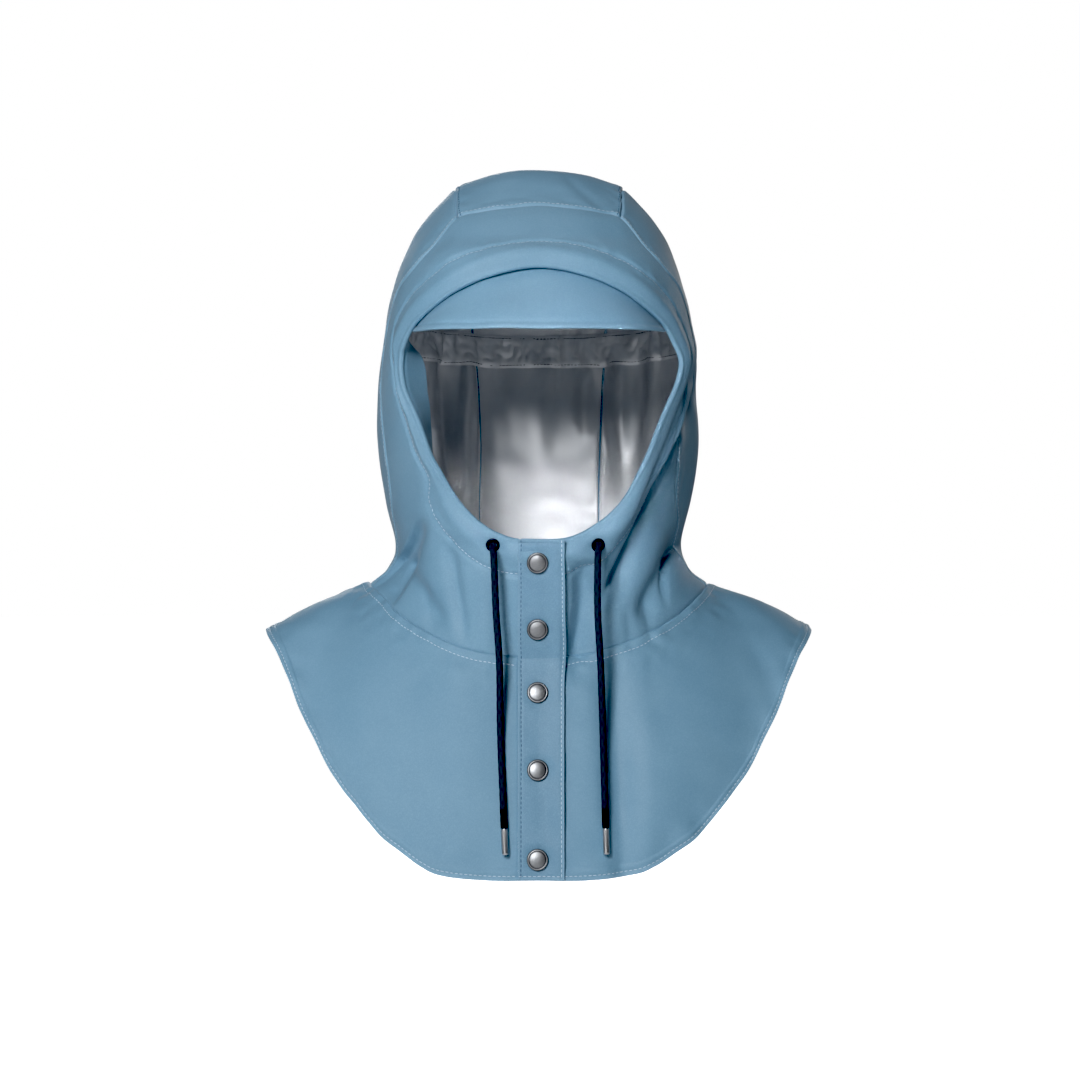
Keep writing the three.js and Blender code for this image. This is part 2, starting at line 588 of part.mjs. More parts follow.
// Eyelets, and the holes for them in the band and the facing behind it.
const eyeletBore = cordRadius + fitClearance;
const eyeletBarrel = eyeletBore + eyeletWall;
const eyelets = [
  { name: "left", hand: 1, turn: 68.5, rise: 0.805 },
  { name: "right", hand: -1, turn: 73, rise: 0.805 },
];
let band = solidOf(bandGeometry);
for (const eyelet of eyelets) {
  const [p, q] = mapPoint(eyelet.turn, eyelet.rise);
  eyelet.seat = hoodFrame([eyelet.hand * p, q]);
  const holeRadius = eyeletBarrel + fitClearance;
  const drill = new THREE.CylinderGeometry(holeRadius, holeRadius, 6 * clothWall, 16).rotateX(Math.PI / 2);
  band = band.subtract(solidOf(stand(drill, eyelet.seat, 0)));
  const ring = lathe(
    [
      [eyeletBore, eyeletSeat],
      [eyeletBore, -clothWall],
      [eyeletBarrel, -clothWall],
      [eyeletBarrel, eyeletSeat],
      [eyeletBarrel + eyeletFlange, eyeletSeat],
      [eyeletBarrel + eyeletFlange, eyeletSeat + eyeletLip],
      [eyeletBore, eyeletSeat + eyeletLip],
      [eyeletBore, eyeletSeat],
    ],
    16,
  );
  add(`eyelet_${eyelet.name}`, stand(ring, eyelet.seat, 0), darkMetal);
}
add("front_band", geometryOf(band), coatedCloth);

// Drawcords, hanging from the eyelets down the front of the cape to their tips.
const cordRoutes = {
  left: [
    [41.2, -115, -281],
    [40.8, -117.5, -292],
    [40.6, -117.8, -310],
    [40.9, -117.8, -328],
    [41.9, -117.8, -345],
    [42.8, -117.8, -361],
    [43.4, -117.8, -378],
    [44, -117.8, -395],
    [44.5, -118, -412],
    [44.9, -119.4, -428],
    [45.3, -122.6, -445],
    [45.7, -125.4, -462],
    [46, -127.2, -473],
  ],
  right: [
    [-31.8, -115.6, -281],
    [-31.2, -118.3, -292],
    [-30.4, -118.6, -310],
    [-29.6, -118.6, -328],
    [-28.3, -118.6, -345],
    [-27.4, -118.6, -361],
    [-27.1, -118.6, -378],
    [-27, -118.8, -395],
    [-26.6, -119.5, -412],
    [-26, -122, -428],
    [-25.2, -125.2, -445],
    [-24.5, -128, -462],
    [-24, -129.8, -473],
  ],
};
const cordStart = 3; // the stretch that leaves the eyelet straight
const cordOutline = new THREE.Shape();
for (let side = 0; side < cordSides; side++) {
  const turn = (2 * Math.PI * side) / cordSides;
  const corner = [cordRadius * Math.cos(turn), cordRadius * Math.sin(turn)];
  if (side === 0) cordOutline.moveTo(...corner);
  else cordOutline.lineTo(...corner);
}
for (const eyelet of eyelets) {
  const { point, normal } = eyelet.seat;
  const exit = point.clone().addScaledVector(normal, eyeletSeat + eyeletLip + fitClearance);
  const straight = exit.clone().addScaledVector(normal, cordStart);
  const route = cordRoutes[eyelet.name].map((place) => new THREE.Vector3(...place));
  const path = new THREE.CatmullRomCurve3([exit, straight, ...route], false, "centripetal");
  const cord = new THREE.ExtrudeGeometry(cordOutline, { steps: cordSteps, extrudePath: path });
  add(`drawcord_${eyelet.name}`, cord, navyCord);
  const end = path.getPoint(1);
  const along = path.getTangent(1);
  const tip = lathe(
    [
      [0, 0],
      [agletRadius, 0],
      [agletRadius, agletLength - agletChamfer],
      [agletRadius - agletChamfer, agletLength],
      [0, agletLength],
    ],
    12,
  );
  add(`aglet_${eyelet.name}`, stand(tip, { point: end, normal: along }, seamGap), nickel);
}

export default group;
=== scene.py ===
# A detachable rain hood with a shoulder cape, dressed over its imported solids. Sizes are in millimetres as on
# the maker's pattern, and every mesh is written in metres.
import math

import bmesh
import bpy
import numpy as np
from mathutils import Matrix, Vector


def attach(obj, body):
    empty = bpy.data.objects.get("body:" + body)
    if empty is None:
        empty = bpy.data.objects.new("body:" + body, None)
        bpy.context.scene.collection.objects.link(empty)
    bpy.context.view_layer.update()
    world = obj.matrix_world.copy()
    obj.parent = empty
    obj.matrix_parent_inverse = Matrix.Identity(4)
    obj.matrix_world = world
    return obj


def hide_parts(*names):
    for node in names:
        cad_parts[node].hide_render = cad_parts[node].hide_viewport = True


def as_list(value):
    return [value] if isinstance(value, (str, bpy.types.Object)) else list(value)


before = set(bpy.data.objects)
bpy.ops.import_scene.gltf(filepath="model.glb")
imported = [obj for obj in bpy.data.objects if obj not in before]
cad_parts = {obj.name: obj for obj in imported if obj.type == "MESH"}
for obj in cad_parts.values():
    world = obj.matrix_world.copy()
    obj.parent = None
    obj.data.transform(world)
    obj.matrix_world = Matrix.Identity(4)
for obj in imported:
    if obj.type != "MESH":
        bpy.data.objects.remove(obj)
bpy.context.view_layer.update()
BODY = "root"
MM = 0.001


def rows(names, values):
    """A short table as one array for each named column."""
    return dict(zip(names.split(), np.array(values, float).T))


# Hood
HOOD_HALF_WIDTH = 120
BROW_REACH = 140
NAPE_REACH = 125
NECK_DROP = 300
BACK_SQUARENESS = 2.25
CROWN_RIDGE = 2
CROWN_SEAM_OFFSET = 60
CROWN_RIDGE_WIDTH = 9
CROWN_RIDGE_FADE = 0.3

# Cape
CAPE_HALF_WIDTH = 203
CAPE_DROP = 509
CHEST_REACH = 130
BLADE_REACH = 116
CHEST_SQUARENESS = 2.3
CAPE_BULGE = 11
CAPE_FLAT = 0.3

# Cloth
CLOTH_WALL = 1.2
FACE_CASING_WIDTH = 24
FACING_SLACK = 1.6
BACK_CASING_WALL = 1.6
BACK_CASING_TOP = 0.405
BACK_CASING_FOOT = 0.455
BACK_CASING_TURN = 28
BACK_CASING_SLACK = 1.8
PEAK_WALL = 2
PEAK_HALF_WIDTH = 88
PEAK_REACH = 57
PEAK_END_REACH = 106
PEAK_DROP = 129
PEAK_CROWN = 4
PEAK_DIP = 2.9
PEAK_RIBS = 5.3
PEAK_ROOT = 0.04
PEAK_SPAN = 0.98
PEAK_SLACK = 2.2

# Placket and closure
PLACKET_WIDTH = 32
PLACKET_CENTRE = 1.5
PLACKET_WALL = 1.6
PLACKET_SEAT = 0.3
PLACKET_NECK = 0.345
FRONT_EDGE_GAP = 2
CHIN_RISE = 0.799
SNAP_RADIUS = 7.5
SNAP_HEIGHT = 2.6
SNAP_OFFSET = -1
SNAP_SEAT = 0.7
SNAP_PLACES = (0.06, 0.25, 0.45, 0.68, 0.94)

# Drawcord
CORD_RADIUS = 2.5
CORD_START = 3
AGLET_RADIUS = 2.4
AGLET_LENGTH = 18
EYELET_WALL = 0.6
EYELET_FLANGE = 1.3
EYELET_LIP = 0.7
EYELET_SEAT = 0.7
FIT_CLEARANCE = 0.3
SEAM_GAP = 0.3

# Rings from the crown centre down to the neck seam, evenly spaced in rise from 0 to 1, as shares of the sizes
# above.
RINGS = rows(
    "side side_drop front front_drop back back_drop square",
    [
        (0, 0, 0, 0, 0, 0, 2.2),
        (0.35, 0.015, 0.31, 0.023, 0.336, 0.013, 2.2),
        (0.617, 0.083, 0.63, 0.123, 0.672, 0.08, 2.3),
        (0.808, 0.2, 0.84, 0.207, 0.896, 0.207, 2.5),
        (0.917, 0.347, 0.985, 0.285, 0.992, 0.36, 2.8),
        (0.975, 0.517, 1.02, 0.5, 1.008, 0.527, 3),
        (0.996, 0.667, 0.893, 0.667, 0.952, 0.69, 2.8),
        (0.95, 0.817, 0.807, 0.81, 0.848, 0.823, 2.5),
        (0.888, 0.923, 0.786, 0.92, 0.76, 0.917, 2.3),
        (0.94, 0.987, 0.745, 1.065, 0.725, 0.967, 2.2),
        (1.05, 1.023, 0.714, 1.193, 0.72, 1, 2.2),
    ],
)
RING_END = len(RINGS["side"]) - 1

# Ribs of the front band from the brow to the chin, each with its end on the face edge and its outer end.
RIBS = rows(
    "edge_turn edge_rise out_turn out_rise",
    [
        (90, 0.4, 90, 0.2),
        (76, 0.412, 76, 0.21),
        (67, 0.426, 64.5, 0.225),
        (61, 0.437, 56, 0.25),
        (56, 0.447, 52, 0.33),
        (51.5, 0.458, 46.5, 0.374),
        (48.5, 0.473, 39, 0.395),
        (46.7, 0.487, 33.5, 0.43),
        (46.6, 0.509, 30.5, 0.475),
        (48, 0.532, 30, 0.52),
        (50, 0.557, 31, 0.565),
        (51.6, 0.586, 31, 0.619),
        (53.5, 0.63, 28, 0.68),
        (56, 0.661, 21.5, 0.745),
        (58.3, 0.688, 14, 0.84),
        (60.5, 0.709, 9, 1),
        (63.5, 0.734, 28, 1),
        (68, 0.762, 45, 1),
        (74.5, 0.787, 62, 1),
    ],
)
CROWN_RIB = 3
NECK_RIB = 15

# The crown seam from the front band over the top and down to the nape.
CROWN_SEAM = rows(
    "turn rise",
    [
        (56, 0.25),
        (44, 0.2),
        (28, 0.17),
        (0, 0.163),
        (-27, 0.17),
        (-41, 0.2),
        (-52, 0.25),
        (-58.5, 0.3),
        (-64, 0.4),
        (-67, 0.5),
        (-67, 0.6),
        (-64, 0.7),
        (-61.5, 0.8),
        (-60, 0.9),
        (-60, 1),
    ],
)
CROWN_TURN = 7
SEAM_END = len(CROWN_SEAM["turn"]) - 1

# Rays of the cape from the middle of the front to the shoulder.
RAYS = rows(
    "turn across drop",
    [
        (90, 0, 1),
        (71, 0.165, 1),
        (55, 0.322, 0.994),
        (48, 0.394, 0.983),
        (42, 0.46, 0.967),
        (36, 0.543, 0.944),
        (29, 0.626, 0.907),
        (24, 0.681, 0.881),
        (19, 0.736, 0.851),
        (14, 0.781, 0.817),
        (9, 0.838, 0.777),
        (5, 0.883, 0.736),
        (2, 0.933, 0.699),
        (0, 1, 0.667),
    ],
)
SHOULDER_RAY = len(RAYS["turn"]) - 1
CAPE_ROUND = 4 * SHOULDER_RAY

# Folds of the front as seen from ahead, in shares of the hood's half width and the cape's drop. Widths and
# depths are shares of the half width, and a negative depth is a ridge.
FOLDS = rows(
    "from_x from_z to_x to_z width depth",
    [
        (0.9, 0.32, 0.42, 0.61, 0.08, 0.06),
        (0.83, 0.31, 0.5, 0.51, 0.11, -0.03),
        (-0.73, 0.53, -0.92, 0.61, 0.05, 0.05),
        (-0.82, 0.58, -0.62, 0.64, 0.06, 0.04),
        (0.85, 0.55, 0.66, 0.63, 0.06, 0.05),
        (0.45, 0.7, 0.5, 0.98, 0.08, 0.03),
        (-0.24, 0.56, -0.2, 0.68, 0.06, 0.02),
        (-0.45, 0.72, -0.5, 0.98, 0.2, -0.025),
    ],
)
FOLD_END = 1.5
FOLD_START = 0.3


# The form of the hood and the cape, as in the part's own solids

def unit(vectors):
    """Vectors of length one."""
    return vectors / np.maximum(np.linalg.norm(vectors, axis=-1, keepdims=True), 1e-12)


def smooth(share):
    """A soft step from 0 to 1."""
    share = np.clip(share, 0, 1)
    return share * share * (3 - 2 * share)


def bell(distance, width):
    """A soft hump of height one."""
    return np.exp(-((distance / width) ** 2))


def column(values, place, before="slope"):
    """A smooth curve through a table's column, at a place between its rows."""
    place = np.asarray(place, float)
    last = len(values) - 1
    head = {"even": values[1], "odd": -values[1], "slope": 2 * values[0] - values[1]}[before]
    padded = np.concatenate([[head], values, [2 * values[last] - values[last - 1]]])
    row = np.clip(np.floor(place), 0, last - 1).astype(int)
    part = place - row
    a, b, c, d = (padded[row + step] for step in range(4))
    bend = 2 * a - 5 * b + 4 * c - d
    twist = 3 * b - a - 3 * c + d
    return 0.5 * (2 * b + (c - a) * part + bend * part**2 + twist * part**3)


def front_turn(across, rise):
    """The turn, in degrees, of a place across the middle of the front, on the ring at a rise."""
    return 90 - np.degrees(across / (BROW_REACH * column(RINGS["front"], rise * RING_END, "odd")))


SEWN_EDGE = PLACKET_WIDTH / 2 - PLACKET_CENTRE
for across in (SEWN_EDGE, FRONT_EDGE_GAP - SEWN_EDGE):
    chin = (front_turn(across, CHIN_RISE), CHIN_RISE, front_turn(across, 1), 1)
    for key, value in zip(RIBS, chin):
        RIBS[key] = np.append(RIBS[key], value)
LAP_RIB = len(RIBS["edge_turn"]) - 1
SEWN_RIB = LAP_RIB - 1


def fold_depth(x, z, folds):
    """How far the cloth lies below its plain form at a place of the front."""
    depth = np.zeros_like(x)
    for from_x, from_z, to_x, to_z, width, deep in zip(*folds.values()):
        start_x = from_x * HOOD_HALF_WIDTH
        start_z = -from_z * CAPE_DROP
        run_x = to_x * HOOD_HALF_WIDTH - start_x
        run_z = -to_z * CAPE_DROP - start_z
        length = math.hypot(run_x, run_z)
        along = ((x - start_x) * run_x + (z - start_z) * run_z) / length**2
        aside = ((x - start_x) * run_z - (z - start_z) * run_x) / length
        beyond = np.maximum(0, np.maximum(-along, along - 1)) * length
        breadth = width * HOOD_HALF_WIDTH
        depth += deep * HOOD_HALF_WIDTH * bell(aside, breadth) * bell(beyond, FOLD_END * breadth)
    return depth


def hood_form(p, q):
    """The plain form of the hood over its map, a disc from the crown at its centre to the neck seam."""
    rise = np.maximum(np.hypot(p, q), 1e-6)
    place = rise * RING_END
    ahead = q >= 0
    side = HOOD_HALF_WIDTH * column(RINGS["side"], place, "odd")
    front = BROW_REACH * column(RINGS["front"], place, "odd")
    back = NAPE_REACH * column(RINGS["back"], place, "odd")
    reach = np.where(ahead, front, back)
    square = np.where(ahead, column(RINGS["square"], place, "even"), BACK_SQUARENESS)
    spread_share = np.abs(p / rise / side) ** square + np.abs(q / rise / reach) ** square
    radius = spread_share ** (-1 / square)
    x = radius * p / rise
    y = -radius * q / rise
    side_drop = column(RINGS["side_drop"], place, "even")
    front_drop = column(RINGS["front_drop"], place, "even")
    back_drop = column(RINGS["back_drop"], place, "even")
    end_drop = np.where(ahead, front_drop, back_drop)
    drop = NECK_DROP * (side_drop + (end_drop - side_drop) * (y / reach) ** 2)
    beside = (np.abs(x) - CROWN_SEAM_OFFSET) / CROWN_RIDGE_WIDTH
    ridge = CROWN_RIDGE * bell(beside, 1) * bell(drop, CROWN_RIDGE_FADE * NECK_DROP)
    return np.stack([x, y, ridge - drop], -1)


def folded(form, folds):
    """A form with its folds pressed in towards the head, on its front half only."""

    def surface(u, v):
        point = form(u, v)
        ahead = smooth(-point[..., 1] / (FOLD_START * BROW_REACH))
        outward = unit(point * (1, 1, 0))
        depth = fold_depth(point[..., 0], point[..., 2], folds) * ahead
        return point - outward * depth[..., None]

    return surface


def frame_of(form, u, v, step):
    """A form's points and outward normals."""
    along_u = form(u + step, v) - form(u - step, v)
    along_v = form(u, v + step) - form(u, v - step)
    return form(u, v), unit(np.cross(along_v, along_u))


MAP_STEP = 0.002
SHARE_STEP = 0.01


def map_point(turn, rise):
    """A place of the hood's map."""
    turn = np.radians(turn)
    return np.stack([rise * np.cos(turn), rise * np.sin(turn)], -1)


def handed(points, hand):
    """Map points on the wearer's left or right."""
    return points * np.stack([hand * np.ones(points.shape[:-1]), np.ones(points.shape[:-1])], -1)


def rib_end(rib, end):
    """A place on the face edge or the outer edge of the band: negative ribs are on the wearer's right."""
    place = np.abs(rib)
    turn = column(RIBS[end + "_turn"], place)
    rise = np.minimum(column(RIBS[end + "_rise"], place, "even"), 1)
    return handed(map_point(turn, rise), np.where(np.asarray(rib) < 0, -1, 1))


def crown_seam_point(place, hand):
    """A place on a crown seam."""
    turn = column(CROWN_SEAM["turn"], place)
    rise = column(CROWN_SEAM["rise"], place)
    return handed(map_point(turn, rise), hand)


def mix(start, end, share):
    """Points between two others."""
    return start + (end - start) * np.asarray(share)[..., None]


def within(start, end, share):
    """A number between two others."""
    return start + (end - start) * share


def patch(start, end, top, bottom):
    """A four-sided patch of the map from its four edges, each a function of a share from 0 to 1."""
    zero, one = np.zeros(1), np.ones(1)

    def chart(u, v):
        across = mix(start(v), end(v), u)
        down = mix(top(u), bottom(u), v)
        corners = mix(mix(top(zero), top(one), u), mix(bottom(zero), bottom(one), u), v)
        return across + down - corners

    return chart


def cape_form(place, out):
    """The plain form of the cape. A place counts the rays round from the middle of the front."""
    wrapped = np.mod(place, CAPE_ROUND)
    hand = np.where(wrapped > CAPE_ROUND / 2, -1, 1)
    half = np.where(hand > 0, wrapped, CAPE_ROUND - wrapped)
    ahead = half <= SHOULDER_RAY
    ray = np.where(ahead, half, 2 * SHOULDER_RAY - half)
    turn = column(RAYS["turn"], ray)
    across = np.clip(column(RAYS["across"], ray, "odd"), 0, 1)
    seam = map_point(np.where(ahead, turn, -turn), 1)
    neck = hood_form(hand * seam[..., 0], seam[..., 1])
    depth = (1 - across**CHEST_SQUARENESS) ** (1 / CHEST_SQUARENESS)
    hem_y = np.where(ahead, -CHEST_REACH * depth, BLADE_REACH * depth)
    hem_z = -CAPE_DROP * column(RAYS["drop"], ray, "even")
    hem = np.stack([hand * CAPE_HALF_WIDTH * across, hem_y, hem_z], -1)
    run = hem - neck
    level = run * (1, 1, 0)
    reach = np.maximum(np.linalg.norm(level, axis=-1, keepdims=True), 1)
    rising = -level * run[..., 2:] / reach
    rising[..., 2] = reach[..., 0]
    arch = CAPE_BULGE * (CAPE_FLAT + (1 - CAPE_FLAT) * np.sin(math.pi * ray / SHOULDER_RAY))
    arch = arch * np.sin(math.pi * out)
    return neck + run * np.asarray(out)[..., None] + unit(rising) * arch[..., None]


def front_place(x):
    """The cape's place at a distance across the middle of the front."""
    return x / (RAYS["across"][1] * CAPE_HALF_WIDTH)


plain_hood = folded(hood_form, FOLDS)
plain_cape = folded(cape_form, FOLDS)


def placket_form(hood, cape):
    """The placket's form over a hood and a cape. down runs from the chin to the hem."""

    def form(share, down):
        x = PLACKET_CENTRE + PLACKET_WIDTH * (share - 0.5)
        on_cape = down > PLACKET_NECK
        out = np.where(on_cape, (down - PLACKET_NECK) / (1 - PLACKET_NECK), 0)
        rise = np.where(on_cape, 1, CHIN_RISE + (1 - CHIN_RISE) * down / PLACKET_NECK)
        seat = map_point(front_turn(x, rise), rise)
        upper = hood(seat[..., 0], seat[..., 1])
        return np.where(on_cape[..., None], cape(front_place(x), out), upper)

    return form


def single(form, u, v, step):
    """One point of a form and its normal, as vectors in millimetres."""
    point, normal = frame_of(form, np.array([float(u)]), np.array([float(v)]), step)
    return Vector(point[0]), Vector(normal[0])


EYELETS = {"left": (1, 68.5, 0.805), "right": (-1, 73, 0.805)}


def eyelet_seat(side):
    """Where an eyelet sits on the band, and its outward direction."""
    hand, turn, rise = EYELETS[side]
    p, q = map_point(turn, rise)
    return single(plain_hood, hand * p, q, MAP_STEP)


# Camera, level and straight ahead, at the photograph's place

PHOTO_LENS = 71.43
SENSOR_WIDTH = 36
PHOTO_EYE = (0.0007, -1.605, -0.2745)


def place_camera():
    """The photograph's camera."""
    camera = bpy.data.objects.new("camera", bpy.data.cameras.new("camera"))
    camera.data.lens = PHOTO_LENS
    camera.data.sensor_width = SENSOR_WIDTH
    camera.location = PHOTO_EYE
    camera.rotation_euler = (math.pi / 2, 0, 0)
    bpy.context.scene.collection.objects.link(camera)
    bpy.context.scene.camera = camera


place_camera()


# Materials

def colour(code):
    """A linear colour from an sRGB hex value."""
    parts = [int(code[i : i + 2], 16) / 255 for i in (1, 3, 5)]
    linear = [part / 12.92 if part <= 0.04045 else ((part + 0.055) / 1.055) ** 2.4 for part in parts]
    return (*linear, 1)


def node(tree, kind, inputs=None, **settings):
    """Adds a node with its settings, and its inputs as values or as links from other sockets."""
    made = tree.nodes.new(kind)
    for name, value in settings.items():
        setattr(made, name, value)
    for name, value in (inputs or {}).items():
        if isinstance(value, bpy.types.NodeSocket):
            tree.links.new(value, made.inputs[name])
        else:
            made.inputs[name].default_value = value
    return made


def new_material(name):
    """An empty node material and its tree."""
    material = bpy.data.materials.new(name)
    material.use_nodes = True
    material.node_tree.nodes.clear()
    return material, material.node_tree


def finish_material(tree, colour_socket, roughness_socket, normal_socket, **values):
    """The surface shader. values are sockets that are the same all over."""
    inputs = {"Base Color": colour_socket, "Roughness": roughness_socket, "Normal": normal_socket}
    inputs.update({name.replace("_", " "): value for name, value in values.items()})
    shader = node(tree, "ShaderNodeBsdfPrincipled", inputs)
    node(tree, "ShaderNodeOutputMaterial", {"Surface": shader.outputs["BSDF"]})


def noise(tree, place, size, detail=2):
    """A noise whose grains have a size in millimetres."""
    inputs = {"Vector": place, "Scale": 1 / (size * MM), "Detail": detail}
    return node(tree, "ShaderNodeTexNoise", inputs).outputs["Fac"]


def between(tree, share, low, high):
    """A share from 0 to 1 spread over a range."""
    inputs = {"Value": share, "To Min": low, "To Max": high}
    return node(tree, "ShaderNodeMapRange", inputs).outputs["Result"]


def blend(tree, share, first, second):
    """Two colours mixed by a share."""
    made = node(tree, "ShaderNodeMix", data_type="RGBA")
    for socket, value in zip([made.inputs[0], made.inputs[6], made.inputs[7]], [share, first, second]):
        if isinstance(value, bpy.types.NodeSocket):
            tree.links.new(value, socket)
        else:
            socket.default_value = value
    return made.outputs[2]


GRAIN = 0.9  # the real grain is 0.4 mm; it is drawn coarser, so that it shows
MOTTLE = 34
THREADS = 1.3  # the backing's threads are 0.5 mm apart; they are drawn coarser, so that they show
SILVER_MOTTLE = 22
SILVER_GRAIN = 1.2  # the pigment is far finer; it is drawn coarser, so that it shows
THREAD_FIBRE = 0.3
CORD_FIBRES = 900  # in a metre
BRUSH_STREAK = 0.25
BRUSH_STRETCH = 0.12
NICKEL_CLOUD = 6
DRAWING_MARK = 0.3
DRAWING_STRETCH = 0.1
ENAMEL_WEAR = 1.5
PAPER_TOOTH = 4


def coated_cloth(name, low, high):
    """Polyester coated with soft polyurethane: a matt, rubbery face with a broad sheen, over a fine weave."""
    material, tree = new_material(name)
    place = node(tree, "ShaderNodeTexCoord")
    cloth = node(tree, "ShaderNodeUVMap", uv_map="cloth").outputs["UV"]
    mottle = noise(tree, place.outputs["Object"], MOTTLE, 3)
    grain = noise(tree, place.outputs["Object"], GRAIN, 2)
    body = blend(tree, between(tree, mottle, 0.2, 0.8), colour(low), colour(high))
    speck = blend(tree, between(tree, grain, -0.35, 0.5), body, colour("#93b4cb"))
    seam = node(tree, "ShaderNodeAttribute", attribute_name="seam").outputs["Fac"]
    # The cloth is drawn a little lighter within a few millimetres of each sewn edge.
    edge_lightening = node(tree, "ShaderNodeMath", {0: seam, 1: 0.3}, operation="MULTIPLY").outputs[0]
    face = blend(tree, edge_lightening, speck, colour("#96b7ce"))
    weave = node(
        tree,
        "ShaderNodeTexWave",
        {"Vector": cloth, "Scale": 1 / (THREADS * MM) / 2, "Distortion": 1.5, "Detail": 1},
        bands_direction="DIAGONAL",
    ).outputs["Fac"]
    height = node(tree, "ShaderNodeMath", {0: grain, 1: weave}, operation="ADD").outputs[0]
    bump = node(tree, "ShaderNodeBump", {"Height": height, "Strength": 0.35, "Distance": 0.0001})
    roughness = between(tree, mottle, 0.5, 0.6)
    finish_material(
        tree,
        face,
        roughness,
        bump.outputs["Normal"],
        Sheen_Weight=0.12,
        Sheen_Roughness=0.5,
        Specular_IOR_Level=0.4,
    )
    return material


def silver_coating():
    """Silver pigment coating on the inside: smooth, half glossy grey that runs from dark to near white."""
    material, tree = new_material("silver_pigment_coating")
    place = node(tree, "ShaderNodeTexCoord")
    mottle = noise(tree, place.outputs["Object"], SILVER_MOTTLE, 3)
    grain = noise(tree, place.outputs["Object"], SILVER_GRAIN, 2)
    face = blend(tree, mottle, colour("#cfd2d6"), colour("#e0e2e5"))
    bump = node(tree, "ShaderNodeBump", {"Height": grain, "Strength": 0.2, "Distance": 0.0001})
    finish_material(tree, face, between(tree, mottle, 0.42, 0.5), bump.outputs["Normal"], Metallic=0.6)
    return material


def polyester_thread(name, light, dark):
    """Spun polyester sewing thread: dull, a little fuzzy, twisted."""
    material, tree = new_material(name)
    place = node(tree, "ShaderNodeTexCoord")
    fibre = noise(tree, place.outputs["Object"], THREAD_FIBRE, 2)
    bump = node(tree, "ShaderNodeBump", {"Height": fibre, "Strength": 0.3, "Distance": 0.0001})
    face = blend(tree, fibre, colour(dark), colour(light))
    finish_material(tree, face, between(tree, fibre, 0.6, 0.8), bump.outputs["Normal"])
    return material


def braided_polyester():
    """Braided polyester cord, navy, with its last stretch black: dull, with fine slanting strands and painted
    shade between them.
    """
    material, tree = new_material("braided_polyester")
    cord = node(tree, "ShaderNodeUVMap", uv_map="cord").outputs["UV"]
    parts = node(tree, "ShaderNodeSeparateXYZ", {"Vector": cord})
    fibres = {"Vector": cord, "Scale": CORD_FIBRES, "Detail": 2}
    fibre = node(tree, "ShaderNodeTexNoise", fibres).outputs["Fac"]
    strand = node(tree, "ShaderNodeAttribute", attribute_name="strand").outputs["Fac"]
    # Painted shade: the navy is darker in the valleys between strands and lighter on their crests.
    body = blend(tree, strand, colour("#10161f"), colour("#23303f"))
    body = blend(tree, between(tree, fibre, -0.2, 0.6), body, colour("#34465a"))
    tipped = node(tree, "ShaderNodeAttribute", attribute_name="tipped").outputs["Fac"]
    face = blend(tree, tipped, body, colour("#07080b"))
    bump = node(tree, "ShaderNodeBump", {"Height": fibre, "Strength": 0.5, "Distance": 0.0002})
    roughness = between(tree, parts.outputs["X"], 0.75, 0.85)
    finish_material(tree, face, roughness, bump.outputs["Normal"], Sheen_Weight=0.04)
    return material


def brushed_nickel():
    """Brushed black nickel on a press-stud cap: a soft streaked gleam, with painted shade in the groove of its
    rim and round its edge.
    """
    material, tree = new_material("brushed_black_nickel")
    place = node(tree, "ShaderNodeTexCoord").outputs["Object"]
    stretch = (BRUSH_STRETCH, 1, 1)
    streaks = node(tree, "ShaderNodeMapping", {"Vector": place, "Scale": stretch}).outputs["Vector"]
    streak = noise(tree, streaks, BRUSH_STREAK, 3)
    cloudy = noise(tree, place, NICKEL_CLOUD, 2)
    face = blend(tree, streak, colour("#85888c"), colour("#a3a5a8"))
    # Painted shade: the cap's colour runs to near black in the groove of its rim and at its edge.
    painted_rim_shade = node(tree, "ShaderNodeAttribute", attribute_name="painted_rim_shade").outputs["Fac"]
    face = blend(tree, painted_rim_shade, face, colour("#23252b"))
    bump = node(tree, "ShaderNodeBump", {"Height": streak, "Strength": 0.15, "Distance": 0.0001})
    finish_material(tree, face, between(tree, cloudy, 0.4, 0.5), bump.outputs["Normal"], Metallic=1.0)
    return material


def polished_steel():
    """Polished steel on a cord tip, dulled by handling: soft light and dark bands, faint drawing marks."""
    material, tree = new_material("polished_steel")
    place = node(tree, "ShaderNodeTexCoord").outputs["Object"]
    stretch = (1, 1, DRAWING_STRETCH)
    marks = node(tree, "ShaderNodeMapping", {"Vector": place, "Scale": stretch}).outputs["Vector"]
    mark = noise(tree, marks, DRAWING_MARK, 2)
    face = blend(tree, mark, colour("#b3b5b8"), colour("#d4d5d7"))
    bump = node(tree, "ShaderNodeBump", {"Height": mark, "Strength": 0.08, "Distance": 0.0001})
    finish_material(tree, face, between(tree, mark, 0.3, 0.4), bump.outputs["Normal"], Metallic=1.0)
    return material


def painted_brass():
    """Brass eyelet with dark enamel paint: satin, with wear that shows a little metal on its lip."""
    material, tree = new_material("painted_brass")
    place = node(tree, "ShaderNodeTexCoord").outputs["Object"]
    wear = noise(tree, place, ENAMEL_WEAR, 3)
    face = blend(tree, wear, colour("#0e1626"), colour("#27344c"))
    bump = node(tree, "ShaderNodeBump", {"Height": wear, "Strength": 0.1, "Distance": 0.0001})
    finish_material(tree, face, between(tree, wear, 0.28, 0.42), bump.outputs["Normal"], Metallic=0.6)
    return material


COATED = coated_cloth("polyurethane_coated_polyester", "#6d92ac", "#81a4bb")
